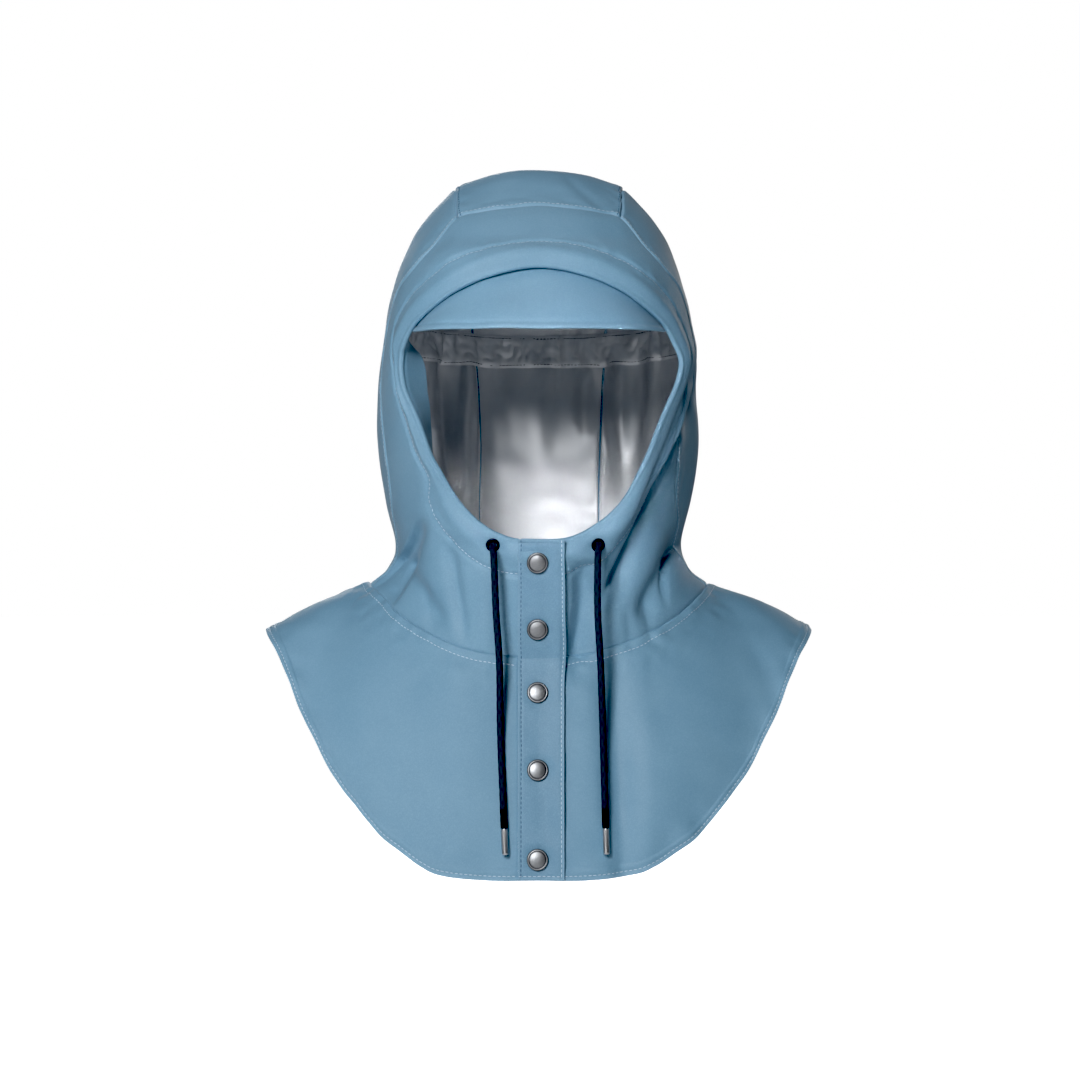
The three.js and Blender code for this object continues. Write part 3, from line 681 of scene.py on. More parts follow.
# A darker copy of the coated cloth for the placket: painted shade over the whole strip.
SHADED_COATED = coated_cloth("polyurethane_coated_polyester_painted_shade", "#6a8da6", "#7497b0")
SILVER = silver_coating()
PALE_THREAD = polyester_thread("pale_polyester_thread", "#d8e6f0", "#a9c2d6")
BLUE_THREAD = polyester_thread("blue_polyester_thread", "#3f6688", "#1d3b58")
INNER_THREAD = polyester_thread("dark_polyester_thread", "#39404e", "#14181f")
CORD_LOOK = braided_polyester()
NICKEL = brushed_nickel()
STEEL = polished_steel()
EYELET_LOOK = painted_brass()


# Making pieces

def finished(mesh, name, looks, replaced=()):
    """A mesh as a piece of the hood: it rides on the body and hides the solids that it replaces."""
    piece = bpy.data.objects.new(name, mesh)
    bpy.context.scene.collection.objects.link(piece)
    for look in looks:
        mesh.materials.append(look)
    mesh.polygons.foreach_set("use_smooth", [True] * len(mesh.polygons))
    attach(piece, BODY)
    if replaced:
        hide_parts(*replaced)
    return piece


def grid_mesh(name, points, normals, uv_name, attributes):
    """A grid of points as a mesh that faces along the normals. Its UV map runs in metres along the cloth."""
    across, down = points.shape[:2]
    shape = bmesh.new()
    shape.loops.layers.uv.new(uv_name)
    bmesh.ops.create_grid(shape, x_segments=across - 1, y_segments=down - 1, size=0.5)
    mesh = bpy.data.meshes.new(name)
    shape.to_mesh(mesh)
    shape.free()
    flat = np.empty(len(mesh.vertices) * 3)
    mesh.vertices.foreach_get("co", flat)
    place = (flat.reshape(-1, 3)[:, :2] + 0.5) * (across - 1, down - 1)
    i, j = np.rint(place).astype(int).T
    mesh.vertices.foreach_set("co", (points[i, j] * MM).ravel())
    for key, values in attributes.items():
        mesh.attributes.new(key, "FLOAT", "POINT").data.foreach_set("value", values[i, j])
    corner = np.empty(len(mesh.loops), int)
    mesh.loops.foreach_get("vertex_index", corner)
    lengths = np.stack([run_along(points, 0), run_along(points, 1)], -1) * MM
    mesh.uv_layers[uv_name].data.foreach_set("uv", lengths[i, j][corner].ravel())
    mesh.update()
    middle = mesh.polygons[len(mesh.polygons) // 2]
    nearest = middle.vertices[0]
    if middle.normal.dot(Vector(normals[i[nearest], j[nearest]])) < 0:
        mesh.flip_normals()
    return mesh


def run_along(points, axis):
    """The distance along a grid from its first row or column, in millimetres."""
    steps = np.linalg.norm(np.diff(points, axis=axis), axis=-1)
    first = np.zeros_like(np.take(steps, [0], axis))
    return np.concatenate([first, np.cumsum(steps, axis)], axis)


class Cloth:
    """A grid of cloth: its points, its outward normals and the distances to its four edges."""

    def __init__(self, points, normals):
        self.points = points
        self.normals = normals
        across = run_along(points, 0)
        down = run_along(points, 1)
        self.edges = {
            "start": across,
            "end": across[-1:, :] - across,
            "top": down,
            "bottom": down[:, -1:] - down,
        }

    def raised(self, height):
        """The same cloth moved along its normals."""
        return Cloth(self.points + self.normals * height[..., None], self.normals)

    def line(self, edge, distance, lift=0.0):
        """Points and normals at a distance from an edge, all along it."""
        away = self.edges[edge]
        points, normals = self.points, self.normals
        if edge in ("start", "end"):
            away, points, normals = away.T, points.transpose(1, 0, 2), normals.transpose(1, 0, 2)
        if edge in ("end", "bottom"):
            away, points, normals = away[:, ::-1], points[:, ::-1], normals[:, ::-1]
        found = []
        for index in range(len(away)):
            reach = distance[index] if np.ndim(distance) else distance
            for grid in (points, normals):
                found += [np.interp(reach, away[index], grid[index, :, axis]) for axis in range(3)]
        found = np.array(found).reshape(-1, 6)
        return found[:, :3] + unit(found[:, 3:]) * lift, unit(found[:, 3:])


def crowded(count, power=0.75):
    """Shares from 0 to 1 that lie closer together near both ends."""
    share = np.linspace(0, 1, count + 1)
    return share - power * np.sin(2 * math.pi * share) / (2 * math.pi)


def lay(form, us, vs, step):
    """The cloth over a form."""
    u, v = np.meshgrid(us, vs, indexing="ij")
    return Cloth(*frame_of(form, u, v, step))


def waves(points, shortest, longest, seed, count=20):
    """A smooth random height of about -1 to 1 whose humps lie between two lengths, in millimetres."""
    rng = np.random.default_rng(seed)
    direction = unit(rng.normal(size=(count, 3)))
    pace = 2 * math.pi / rng.uniform(shortest, longest, count)
    phase = rng.uniform(0, 2 * math.pi, count)
    heights = np.sin(points @ (direction * pace[:, None]).T + phase)
    return heights.sum(-1) / math.sqrt(2 * count)


# Random waves of the cloth: height, shortest and longest hump in millimetres, and seed.
WAVES = {
    "pleats": (3, 40, 90, 5),
    "wide pleats": (3, 50, 90, 6),
    "crown": (0.6, 50, 120, 11),
    "side": (0.8, 45, 110, 12),
    "casing stitches": (0.45, 8, 17, 41),
    "band": (0.6, 45, 110, 42),
    "facing": (0.5, 12, 30, 43),
    "elastic": (1, 7, 16, 51),
    "peak": (0.6, 30, 80, 61),
    "cape": (1.1, 60, 150, 71),
    "hem": (1.1, 14, 34, 72),
    "neck": (0.8, 10, 24, 73),
    "placket": (0.35, 18, 40, 81),
}
DENT = 0.32
DENT_SHORTEST = 20
DENT_LONGEST = 52
DENT_WAVES = 30


def wavy(cloth, name, hand=0):
    """The random waves that the table names, other ones on each hand."""
    height, shortest, longest, seed = WAVES[name]
    return height * waves(cloth.points, shortest, longest, seed + hand)


SEAM_ROLL = 1.3  # how far a seam's edge turns down
SEAM_ROLL_WIDTH = 1.3
ALLOWANCE = 0.35  # how far the turned-in edge lifts the cloth beside a seam
ALLOWANCE_SLOPE = 1.5
STITCH_DIP = 0.35
STITCH_DIP_WIDTH = 0.9
PUCKER = 0.36
PUCKER_SPACING = 11
PUCKER_REACH = 3.2  # in distances from the seam to its stitches


def seam_relief(cloth, edge, stitch=None, seed=1):
    """The relief beside a seam: its rolled edge, the lift of the allowance and the pull of the stitches."""
    away = cloth.edges[edge]
    height = -SEAM_ROLL * bell(away, SEAM_ROLL_WIDTH)
    if stitch:
        beyond = smooth((away - stitch) / ALLOWANCE_SLOPE)
        height = height + ALLOWANCE * smooth(away / ALLOWANCE_SLOPE) * (1 - beyond)
        height = height - STITCH_DIP * bell(away - stitch, STITCH_DIP_WIDTH)
        pull = waves(cloth.points, PUCKER_SPACING * 0.7, PUCKER_SPACING * 1.6, seed)
        height = height + PUCKER * pull * bell(away - stitch, PUCKER_REACH * stitch)
    return height


def ridged(height, cloth, lines):
    """A height with ridges and dips that run along edges. Each has its edge, distance, height and width."""
    for edge, distance, lift, width in lines:
        height = height + lift * bell(cloth.edges[edge] - distance, width)
    return height


def off_seams(cloth, reach=14):
    """One over the middle of a piece, falling to nothing at its edges, so that pieces meet at their seams."""
    return smooth(np.min(list(cloth.edges.values()), axis=0) / reach)


def worn(cloth, seed):
    """The shallow dents of cloth that has been worn and folded."""
    return DENT * waves(cloth.points, DENT_SHORTEST, DENT_LONGEST, seed, DENT_WAVES) * off_seams(cloth)


def pierce(mesh, seat, radius):
    """Opens a hole in a mesh where an eyelet goes through."""
    shape = bmesh.new()
    shape.from_mesh(mesh)
    inside = [face for face in shape.faces if (face.calc_center_median() - seat).length < radius]
    bmesh.ops.delete(shape, geom=inside, context="FACES")
    shape.to_mesh(mesh)
    shape.free()


def near_edge(cloth, edges, reach=2.5):
    """How near the cloth is to the named edges, from 0 to 1."""
    return np.max([bell(cloth.edges[edge], reach) for edge in edges], axis=0)


ALL_EDGES = ("start", "end", "top", "bottom")
EDGE_ROUND = 0.35  # of the wall
EDGE_ANGLE = 60  # degrees


def cloth_piece(
    name, cloth, replaced, edges=ALL_EDGES, looks=(COATED, SILVER), wall=CLOTH_WALL
):
    """A piece of cloth with its wall, from a grid of points on its outer face, and its sewn edges."""
    mesh = grid_mesh(name, cloth.points, cloth.normals, "cloth", {"seam": near_edge(cloth, edges)})
    piece = finished(mesh, name, looks, [replaced])
    solid = piece.modifiers.new("wall", "SOLIDIFY")
    solid.thickness = wall * MM
    solid.offset = -1
    solid.material_offset = len(looks) - 1
    round_edge = piece.modifiers.new("edge", "BEVEL")
    round_edge.width = EDGE_ROUND * wall * MM
    round_edge.segments = 2
    round_edge.limit_method = "ANGLE"
    round_edge.angle_limit = math.radians(EDGE_ANGLE)
    return piece


def resampled(line, spacing):
    """Distances along a line, a spacing apart, and a function that gives its places there."""
    length = np.concatenate([[0], np.cumsum(np.linalg.norm(np.diff(line, axis=0), axis=1))])
    places = np.arange(0.5 * spacing, length[-1] - 0.5 * spacing, spacing)

    def at(values, where):
        return np.stack([np.interp(where, length, values[:, axis]) for axis in range(values.shape[1])], -1)

    return places, at


STITCH_SHORTEST = 0.88  # of the usual length
STITCH_LONGEST = 1.08
STITCH_SLANT = 0.08
STITCH_DRIFT = 0.05
STITCH_STAND = 0.12  # of the stitch's height


def stitches(name, lines, look, slot, pitch=3.3, length=2.5, width=0.62, height=0.34, seed=3):
    """Rows of stitches along lines of points and normals, joined as one piece."""
    rng = np.random.default_rng(seed)
    shape = bmesh.new()
    bmesh.ops.create_uvsphere(shape, u_segments=6, v_segments=4, radius=0.5)
    bead = bpy.data.meshes.new("bead")
    shape.to_mesh(bead)
    shape.free()
    corners = np.array([vertex.co for vertex in bead.vertices])[:, [2, 0, 1]]
    faces = [tuple(face.vertices) for face in bead.polygons]
    bpy.data.meshes.remove(bead)
    placed = []
    for points, normals in lines:
        places, at = resampled(points, pitch)
        sizes = length * rng.uniform(STITCH_SHORTEST, STITCH_LONGEST, len(places))
        start = at(points, places - sizes / 2)
        end = at(points, places + sizes / 2)
        upward = unit(at(normals, places))
        along = unit(end - start)
        side = unit(np.cross(upward, along) + STITCH_SLANT * rng.normal(size=along.shape))
        centre = at(points, places) + side * rng.normal(0, STITCH_DRIFT, (len(places), 1))
        centre = centre + upward * height * STITCH_STAND
        size = np.stack([sizes, np.full_like(sizes, width), np.full_like(sizes, height)], -1)
        local = corners[None] * size[:, None]
        turned = local[..., 0:1] * along[:, None]
        turned = turned + local[..., 1:2] * side[:, None]
        turned = turned + local[..., 2:3] * upward[:, None]
        placed.append((centre[:, None] + turned).reshape(-1, 3))
    vertices = np.concatenate(placed) * MM
    count = len(corners)
    every = []
    for first in range(0, len(vertices), count):
        every += [tuple(first + corner for corner in face) for face in faces]
    mesh = bpy.data.meshes.new(name)
    mesh.from_pydata(vertices.tolist(), [], every)
    mesh.update()
    outward_first(mesh)
    return finished(mesh, name, [look])


def outward_first(mesh):
    """Turns a mesh's faces outwards."""
    shape = bmesh.new()
    shape.from_mesh(mesh)
    bmesh.ops.recalc_face_normals(shape, faces=shape.faces)
    shape.to_mesh(mesh)
    shape.free()


def spun(name, profile, segments, seat, direction):
    """A solid of revolution on its seat, from a closed or axis-to-axis profile of radius and height."""
    shape = bmesh.new()
    points = [shape.verts.new((radius * MM, 0, height * MM)) for radius, height in profile]
    edges = [shape.edges.new(pair) for pair in zip(points, points[1:])]
    bmesh.ops.spin(
        shape,
        geom=points + edges,
        cent=(0, 0, 0),
        axis=(0, 0, 1),
        angle=2 * math.pi,
        steps=segments,
        use_merge=True,
    )
    bmesh.ops.remove_doubles(shape, verts=shape.verts, dist=1e-6)
    bmesh.ops.recalc_face_normals(shape, faces=shape.faces)
    turn = Vector((0, 0, 1)).rotation_difference(direction).to_matrix().to_4x4()
    bmesh.ops.transform(shape, matrix=Matrix.Translation(seat * MM) @ turn, verts=shape.verts)
    mesh = bpy.data.meshes.new(name)
    shape.to_mesh(mesh)
    shape.free()
    return mesh


# Drawcords, hanging from the eyelets down the front of the cape to their tips

CORD_ROUTES = {
    "left": [
        (41.2, -114.2, -282.6),
        (40.8, -118.3, -290),
        (40.6, -117.8, -310),
        (40.9, -117.8, -328),
        (41.9, -117.8, -345),
        (42.8, -117.8, -361),
        (43.4, -117.8, -378),
        (44, -117.8, -395),
        (44.5, -118, -412),
        (44.9, -119.4, -428),
        (45.3, -122.6, -445),
        (45.7, -125.4, -462),
        (46, -127.2, -473),
    ],
    "right": [
        (-31.8, -114.4, -282.6),
        (-31.2, -118.7, -290),
        (-30.4, -118.6, -310),
        (-29.6, -118.6, -328),
        (-28.3, -118.6, -345),
        (-27.4, -118.6, -361),
        (-27.1, -118.6, -378),
        (-27, -118.8, -395),
        (-26.6, -119.5, -412),
        (-26, -122, -428),
        (-25.2, -125.2, -445),
        (-24.5, -128, -462),
        (-24, -129.8, -473),
    ],
}
CORD_SIDES = 24
CORD_ROW = 0.9  # between the rings of the cord's mesh
CORD_STRANDS = 8
CORD_RELIEF = 0.13
CORD_LAY = 9  # how far a strand runs for one turn round the cord
CORD_BLACK = 14  # the last stretch before the tip
CORD_BLACK_FADE = 2
CORD_ASIDE = (0, 1, 0.2)  # the cord's rings start out square to this way
ROUTE_STEPS = 24


def smooth_route(points, spacing):
    """A smooth centripetal curve through points, as points a spacing apart."""
    points = np.array(points, float)
    ends = [2 * points[0] - points[1], *points, 2 * points[-1] - points[-2]]
    found = []
    for a, b, c, d in zip(ends, ends[1:], ends[2:], ends[3:]):
        knots = np.cumsum([0] + [math.sqrt(np.linalg.norm(y - x)) for x, y in ((a, b), (b, c), (c, d))])
        for t in np.linspace(knots[1], knots[2], ROUTE_STEPS, endpoint=False):
            ab = within(a, b, (t - knots[0]) / (knots[1] - knots[0]))
            bc = within(b, c, (t - knots[1]) / (knots[2] - knots[1]))
            cd = within(c, d, (t - knots[2]) / (knots[3] - knots[2]))
            abc = within(ab, bc, (t - knots[0]) / (knots[2] - knots[0]))
            bcd = within(bc, cd, (t - knots[1]) / (knots[3] - knots[1]))
            found.append(within(abc, bcd, (t - knots[1]) / (knots[2] - knots[1])))
    found.append(points[-1])
    line = np.array(found)
    length = np.concatenate([[0], np.cumsum(np.linalg.norm(np.diff(line, axis=0), axis=1))])
    places = np.linspace(0, length[-1], int(length[-1] / spacing) + 1)
    return np.stack([np.interp(places, length, line[:, axis]) for axis in range(3)], -1)


def drawcord(side):
    """One drawcord end as a braided tube, and its steel tip."""
    seat, normal = eyelet_seat(side)
    leave = seat + normal * (EYELET_SEAT + EYELET_LIP + FIT_CLEARANCE)
    straight = leave + normal * CORD_START
    line = smooth_route([leave, straight, *CORD_ROUTES[side]], CORD_ROW)
    along = unit(np.gradient(line, axis=0))
    across = unit(np.cross(along, CORD_ASIDE))
    for index in range(1, len(line)):
        carried = across[index - 1] - along[index] * np.dot(across[index - 1], along[index])
        across[index] = unit(carried)
    other = np.cross(along, across)
    turn = np.linspace(0, 2 * math.pi, CORD_SIDES + 1)
    run = run_along(line[None], 1)[0]
    slant = 2 * math.pi * run[:, None] / CORD_LAY
    half = CORD_STRANDS / 2
    one_way = np.cos(half * turn[None] + slant)
    other_way = np.cos(half * turn[None] - slant)
    strand = np.maximum(one_way, other_way)
    radius = CORD_RADIUS + CORD_RELIEF * (strand - 1)
    tube = line[:, None] + radius[..., None] * (
        across[:, None] * np.cos(turn)[None, :, None] + other[:, None] * np.sin(turn)[None, :, None]
    )
    outward = unit(tube - line[:, None])
    black = smooth((run - run[-1] + CORD_BLACK) / CORD_BLACK_FADE)[:, None] * np.ones_like(strand)
    # strand also drives the painted shade between the strands in the cord's material.
    attributes = {"strand": 0.5 + 0.5 * strand, "tipped": black}
    mesh = grid_mesh(f"cord_{side}", tube, outward, "cord", attributes)
    closed_tube(mesh)
    cord = finished(mesh, f"cord_{side}", [CORD_LOOK], [f"drawcord_{side}"])
    end = Vector(line[-1])
    fall = Vector(along[-1])
    tip = aglet(side, end + fall * SEAM_GAP, fall)
    print(f"cord_{side} is {run[-1]:.1f} mm long")


def closed_tube(mesh):
    """Joins a grid's two long edges and closes its ends."""
    shape = bmesh.new()
    shape.from_mesh(mesh)
    bmesh.ops.remove_doubles(shape, verts=shape.verts, dist=1e-6)
    ends = [edge for edge in shape.edges if edge.is_boundary]
    bmesh.ops.holes_fill(shape, edges=ends, sides=0)
    bmesh.ops.recalc_face_normals(shape, faces=shape.faces)
    shape.to_mesh(mesh)
    shape.free()


def aglet(side, seat, direction):
    """A steel cord tip: a drawn tube with a rolled mouth and a closed end."""
    profile = [
        (0, 0),
        (AGLET_RADIUS - 0.3, 0),
        (AGLET_RADIUS, 0.25),
        (AGLET_RADIUS, 0.9),
        (AGLET_RADIUS - 0.12, 1.2),
        (AGLET_RADIUS - 0.12, AGLET_LENGTH - 1.4),
        (AGLET_RADIUS - 0.2, AGLET_LENGTH - 0.6),
        (AGLET_RADIUS - 0.7, AGLET_LENGTH - 0.1),
        (AGLET_RADIUS - 1.2, AGLET_LENGTH),
        (0, AGLET_LENGTH),
    ]
    name = f"tip_{side}"
    mesh = spun(name, profile, 40, seat, direction)
    return finished(mesh, name, [STEEL], [f"aglet_{side}"])


for side in CORD_ROUTES:
    drawcord(side)


# Cloth in its worn form: the solids' folds, and the finer ones that the light picks out

PHOTO_SIDE = 1080
PIXELS_PER_SLOPE = PHOTO_SIDE * PHOTO_LENS / SENSOR_WIDTH

# Soft folds and overlaps as the photograph shows them. A fold runs from one place by a second to a third, in
# the photograph's pixels. Widths, reaches and depths are in millimetres, and a negative depth is a ridge.
SOFT_NAMES = "from_x from_y by_x by_y to_x to_y width depth"
SOFT_FOLDS = rows(
    SOFT_NAMES,
    [
        (676, 395, 652, 465, 604, 545, 2.5, 0.8),
        (681, 540, 666, 568, 668, 612, 2.2, 3.6),
        (585, 556, 585, 605, 572, 690, 8, 10),
        (645, 590, 649, 622, 654, 650, 3, 1.4),
        (626, 600, 630, 630, 633, 665, 3.5, 1.2),
        (602, 605, 608, 640, 607, 672, 4, 1),
        (446, 530, 456, 590, 466, 650, 4.5, 3.4),
        (418, 430, 428, 530, 440, 640, 9, -1.6),
        (425, 575, 428, 605, 434, 640, 3, 1),
        (478, 560, 484, 610, 488, 665, 6, -1),
        (420, 548, 404, 580, 384, 614, 1.8, 2.8),
        (618, 650, 620, 760, 625, 864, 12, 3),
        (398, 345, 394, 368, 399, 396, 2.6, 2),
        (560, 168, 582, 192, 616, 216, 3, 1.4),
        (583, 238, 600, 249, 613, 264, 2.2, 1),
        (606, 248, 624, 260, 641, 274, 2.2, 0.9),
        (470, 262, 480, 250, 486, 238, 3, 0.7),
    ],
)
# An overlap falls away on the left hand of its run, over its drop, and comes back over its reach. Its crest
# stands over the edge, and till is how far back it goes.
OVERLAPS = rows(
    "from_x from_y by_x by_y to_x to_y drop reach depth crest till",
    [
        (699, 322, 686, 422, 632, 530, 7, 22, 20, 2, -5),
        (668, 458, 637, 524, 600, 604, 8, 15, 14, 1.5, -5),
        (424, 506, 402, 557, 362, 594, 1.8, 9, 4.5, 1.2, 25),
    ],
)
# Folds of the back half, which the face opening shows from inside.
BACK_FOLDS = rows(
    SOFT_NAMES,
    [
        (424, 330, 425, 390, 432, 470, 7, 5),
        (440, 330, 444, 420, 452, 500, 5, -3.5),
        (472, 340, 462, 430, 462, 520, 6, 4),
        (500, 350, 492, 420, 494, 520, 10, -2),
        (545, 350, 540, 400, 546, 470, 14, 2),
        (606, 345, 603, 420, 612, 500, 8, -3),
        (626, 340, 620, 400, 626, 520, 7, 3),
        (641, 330, 640, 390, 640, 480, 6, -2.5),
        (656, 330, 656, 390, 646, 470, 6, 4),
        (590, 365, 584, 400, 590, 440, 6, 2.5),
    ],
)
OVERLAP_START = 0.42
OVERLAP_END = 0.22
OVERLAP_FADE = 45
CREST_WIDTH = 1.4  # of the drop
SOFT_FADE = 0.3
BACK_DEEPER = 1.35  # the back's folds are pressed in more than the table says
FRONT_TILL = 30
FRONT_FADE = 50
BACK_FROM = 20
BACK_FADE = 30
CURVE_STEPS = 10


def seen(points):
    """Where points lie in the photograph, in its pixels."""
    eye = np.array(PHOTO_EYE) / MM
    away = points - eye
    across = PHOTO_SIDE / 2 + PIXELS_PER_SLOPE * away[..., 0] / away[..., 1]
    down = PHOTO_SIDE / 2 - PIXELS_PER_SLOPE * away[..., 2] / away[..., 1]
    scale = away[..., 1] / PIXELS_PER_SLOPE
    return across, down, scale


def from_line(across, down, start, by, end):
    """How far places lie to the left hand of a curved line, in pixels, and their share along it."""
    start, by, end = (np.array(place, float) for place in (start, by, end))
    control = 2 * by - (start + end) / 2
    shares = np.linspace(0, 1, CURVE_STEPS + 1)[:, None]
    line = (1 - shares) ** 2 * start + 2 * shares * (1 - shares) * control + shares**2 * end
    nearest = np.full(across.shape, np.inf)
    aside = np.zeros(across.shape)
    along = np.zeros(across.shape)
    for index, (a, b) in enumerate(zip(line, line[1:])):
        run = b - a
        length = np.hypot(*run)
        dx, dy = across - a[0], down - a[1]
        share = np.clip((dx * run[0] + dy * run[1]) / length**2, 0, 1)
        apart = np.hypot(dx - share * run[0], dy - share * run[1])
        side = np.sign(run[1] * dx - run[0] * dy)
        closer = apart < nearest
        nearest = np.where(closer, apart, nearest)
        aside = np.where(closer, side * apart, aside)
        along = np.where(closer, (index + share) / CURVE_STEPS, along)
    return aside, along


def faded(along, start, end):
    """One along a fold, falling to nothing at its two ends."""
    return smooth(along / start) * smooth((1 - along) / end)


def table_rows(table):
    """The rows of a table, each as its three places and its other columns."""
    for row in zip(*table.values()):
        yield row[0:2], row[2:4], row[4:6], row[6:]


def draped(form):
    """A form with the photograph's folds pressed in."""

    def surface(u, v):
        point = form(u, v)
        across, down, scale = seen(point)
        depth = np.zeros(across.shape)
        sunk = np.zeros(across.shape)
        for start, by, end, (width, deep) in table_rows(SOFT_FOLDS):
            aside, along = from_line(across, down, start, by, end)
            depth += deep * bell(aside * scale, width) * faded(along, SOFT_FADE, SOFT_FADE)
        y = point[..., 1]
        for start, by, end, (drop, reach, deep, crest, till) in table_rows(OVERLAPS):
            aside, along = from_line(across, down, start, by, end)
            away = aside * scale
            fall = smooth(away / drop + 0.5) * np.exp(-np.maximum(away, 0) / reach)
            step = deep * fall - crest * bell(away + drop, CREST_WIDTH * drop)
            sunk += step * faded(along, OVERLAP_START, OVERLAP_END) * smooth((till - y) / OVERLAP_FADE)
        behind = np.zeros(across.shape)
        for start, by, end, (width, deep) in table_rows(BACK_FOLDS):
            aside, along = from_line(across, down, start, by, end)
            behind += BACK_DEEPER * deep * bell(aside * scale, width) * faded(along, SOFT_FADE, SOFT_FADE)
        ahead = smooth((FRONT_TILL - y) / FRONT_FADE)
        total = depth * ahead + sunk + behind * smooth((y - BACK_FROM) / BACK_FADE)
        outward = unit(point * (1, 1, 0))
        return point - outward * (total * away_from_eyelets(point))[..., None]

    return surface


CALM_REACH = 9  # round an eyelet the cloth keeps to its plain form
FIXED_SEATS = [np.array(eyelet_seat(side)[0]) for side in EYELETS]


def away_from_eyelets(points):
    """One over most of the cloth, falling to nothing at the eyelets."""
    calm = 1.0
    for seat in FIXED_SEATS:
        calm = calm * (1 - bell(np.linalg.norm(points - seat, axis=-1), CALM_REACH))
    return calm


hood_surface = draped(plain_hood)
cape_surface = draped(plain_cape)


PLEATS = 38  # in a radian round the head
PLEAT_HEIGHT = 0.9
WIDE_PLEATS = 23
WIDE_SHARE = 0.6
PLEAT_FADE = 25  # degrees
PLEAT_ABOVE = 0.05  # how far the pleats run above and below the elastic, in rise
PLEAT_BELOW = 0.1


def gathers(cloth, chart_points):
    """The elastic behind the head draws the cloth into small upright pleats."""
    rise = np.hypot(chart_points[..., 0], chart_points[..., 1])
    turn = np.degrees(np.arctan2(chart_points[..., 1], chart_points[..., 0]))
    behind = smooth((BACK_CASING_TURN - np.where(turn > 90, 180 - turn, turn)) / PLEAT_FADE)
    middle = (BACK_CASING_TOP + BACK_CASING_FOOT) / 2
    fall = np.where(rise < middle, PLEAT_ABOVE, PLEAT_BELOW)
    wave = np.sin(np.radians(turn) * PLEATS + wavy(cloth, "pleats"))
    wave = wave + WIDE_SHARE * np.sin(np.radians(turn) * WIDE_PLEATS + wavy(cloth, "wide pleats"))
    return PLEAT_HEIGHT * wave * behind * bell(rise - middle, fall)


def crown_chart(u, v):
    """The crown panel's chart of the map."""
    chart = patch(
        lambda share: crown_seam_point(within(0, SEAM_END, share), -1),
        lambda share: crown_seam_point(within(0, SEAM_END, share), 1),
        lambda share: rib_end(within(-CROWN_RIB, CROWN_RIB, share), "out"),
        lambda share: map_point(within(-180 - CROWN_SEAM["turn"][-1], CROWN_SEAM["turn"][-1], share), 1),
    )
    return chart(u, v)


def side_chart(hand):
    """A side panel's chart of the map."""

    def neck(share):
        turn = within(RIBS["out_turn"][NECK_RIB], CROWN_SEAM["turn"][-1], share)
        return handed(map_point(turn, 1), hand)

    return patch(
        lambda share: rib_end(hand * within(CROWN_RIB, NECK_RIB, share), "out"),
        lambda share: crown_seam_point(within(CROWN_TURN, SEAM_END, share), hand),
        lambda share: crown_seam_point(within(0, CROWN_TURN, share), hand),
        neck,
    )


def over_map(place):
    """The hood's cloth over places of its map."""
    return Cloth(*frame_of(hood_surface, place[..., 0], place[..., 1], MAP_STEP))


def charted_cloth(chart, us, vs):
    """The hood's cloth over a chart, with the places of the map under it."""
    u, v = np.meshgrid(us, vs, indexing="ij")
    place = chart(u, v)
    return over_map(place), place


TOPSTITCH = 3.5  # from a seam to its row of stitches


def crown_panel():
    """The middle panel over the crown and down to the nape."""
    cloth, place = charted_cloth(crown_chart, crowded(70), crowded(190))
    height = gathers(cloth, place) + wavy(cloth, "crown") * off_seams(cloth) + worn(cloth, 14)
    for edge, seed in (("top", 21), ("start", 22), ("end", 23)):
        height = height + seam_relief(cloth, edge, TOPSTITCH, seed)
    height = height + seam_relief(cloth, "bottom")
    cloth = cloth.raised(height)
    return cloth_piece("crown_cloth", cloth, "crown_panel"), cloth


def side_panel(side, hand):
    """A side of the hood behind the front band."""
    cloth, place = charted_cloth(side_chart(hand), crowded(130), crowded(190))
    height = gathers(cloth, place) + wavy(cloth, "side", hand) * off_seams(cloth)
    height = height + worn(cloth, 17 + hand)
    height = height + seam_relief(cloth, "start", TOPSTITCH, 31 + hand)
    for edge in ("end", "top", "bottom"):
        height = height + seam_relief(cloth, edge)
    cloth = cloth.raised(height)
    return cloth_piece(f"side_cloth_{side}", cloth, f"side_panel_{side}"), cloth


FACE_ROLL = (2 * CLOTH_WALL + FACING_SLACK) / 2
TUNNEL_LIFT = 2.4
TUNNEL_MIDDLE = 0.42  # of the casing's width, as its breadth is
TUNNEL_BREADTH = 0.27
TUNNEL_START = 4
CASING_DIP = 1.2
CASING_DIP_WIDTH = 1.5
CASING_PUCKER_REACH = 7
# On the wearer's right cheek the casing's stitches run nearer the edge. The cheek's places are ribs.
NARROW_CASING = 12.5
CHEEK_START = 6
CHEEK_END = 15.5
CHEEK_FADE = 2.5


def casing_reach(rib):
    """How far the face casing's stitches lie from the face edge, at a rib."""
    cheek = smooth((-rib - CHEEK_START) / CHEEK_FADE)
    return FACE_CASING_WIDTH - NARROW_CASING * cheek * smooth((CHEEK_END + rib) / CHEEK_FADE)


def band_chart(rib, share):
    """The front band's chart of the map: share runs from the face edge outwards."""
    return mix(rib_end(rib, "edge"), rib_end(rib, "out"), share)


def rolled_edge(cloth, radius, steps):
    """The cloth with its top edge turned over in a half round."""
    first, second = cloth.points[:, 0], cloth.points[:, 1]
    normal = cloth.normals[:, 0]
    outward = first - second
    outward = unit(outward - normal * (outward * normal).sum(-1, keepdims=True))
    points, normals = [], []
    for angle in np.linspace(math.pi, 0, steps, endpoint=False):
        direction = normal * math.cos(angle) + outward * math.sin(angle)
        points.append(first - normal * radius + direction * radius)
        normals.append(direction)
    points = np.concatenate([np.stack(points, 1), cloth.points], 1)
    normals = np.concatenate([np.stack(normals, 1), cloth.normals], 1)
    return Cloth(points, normals)


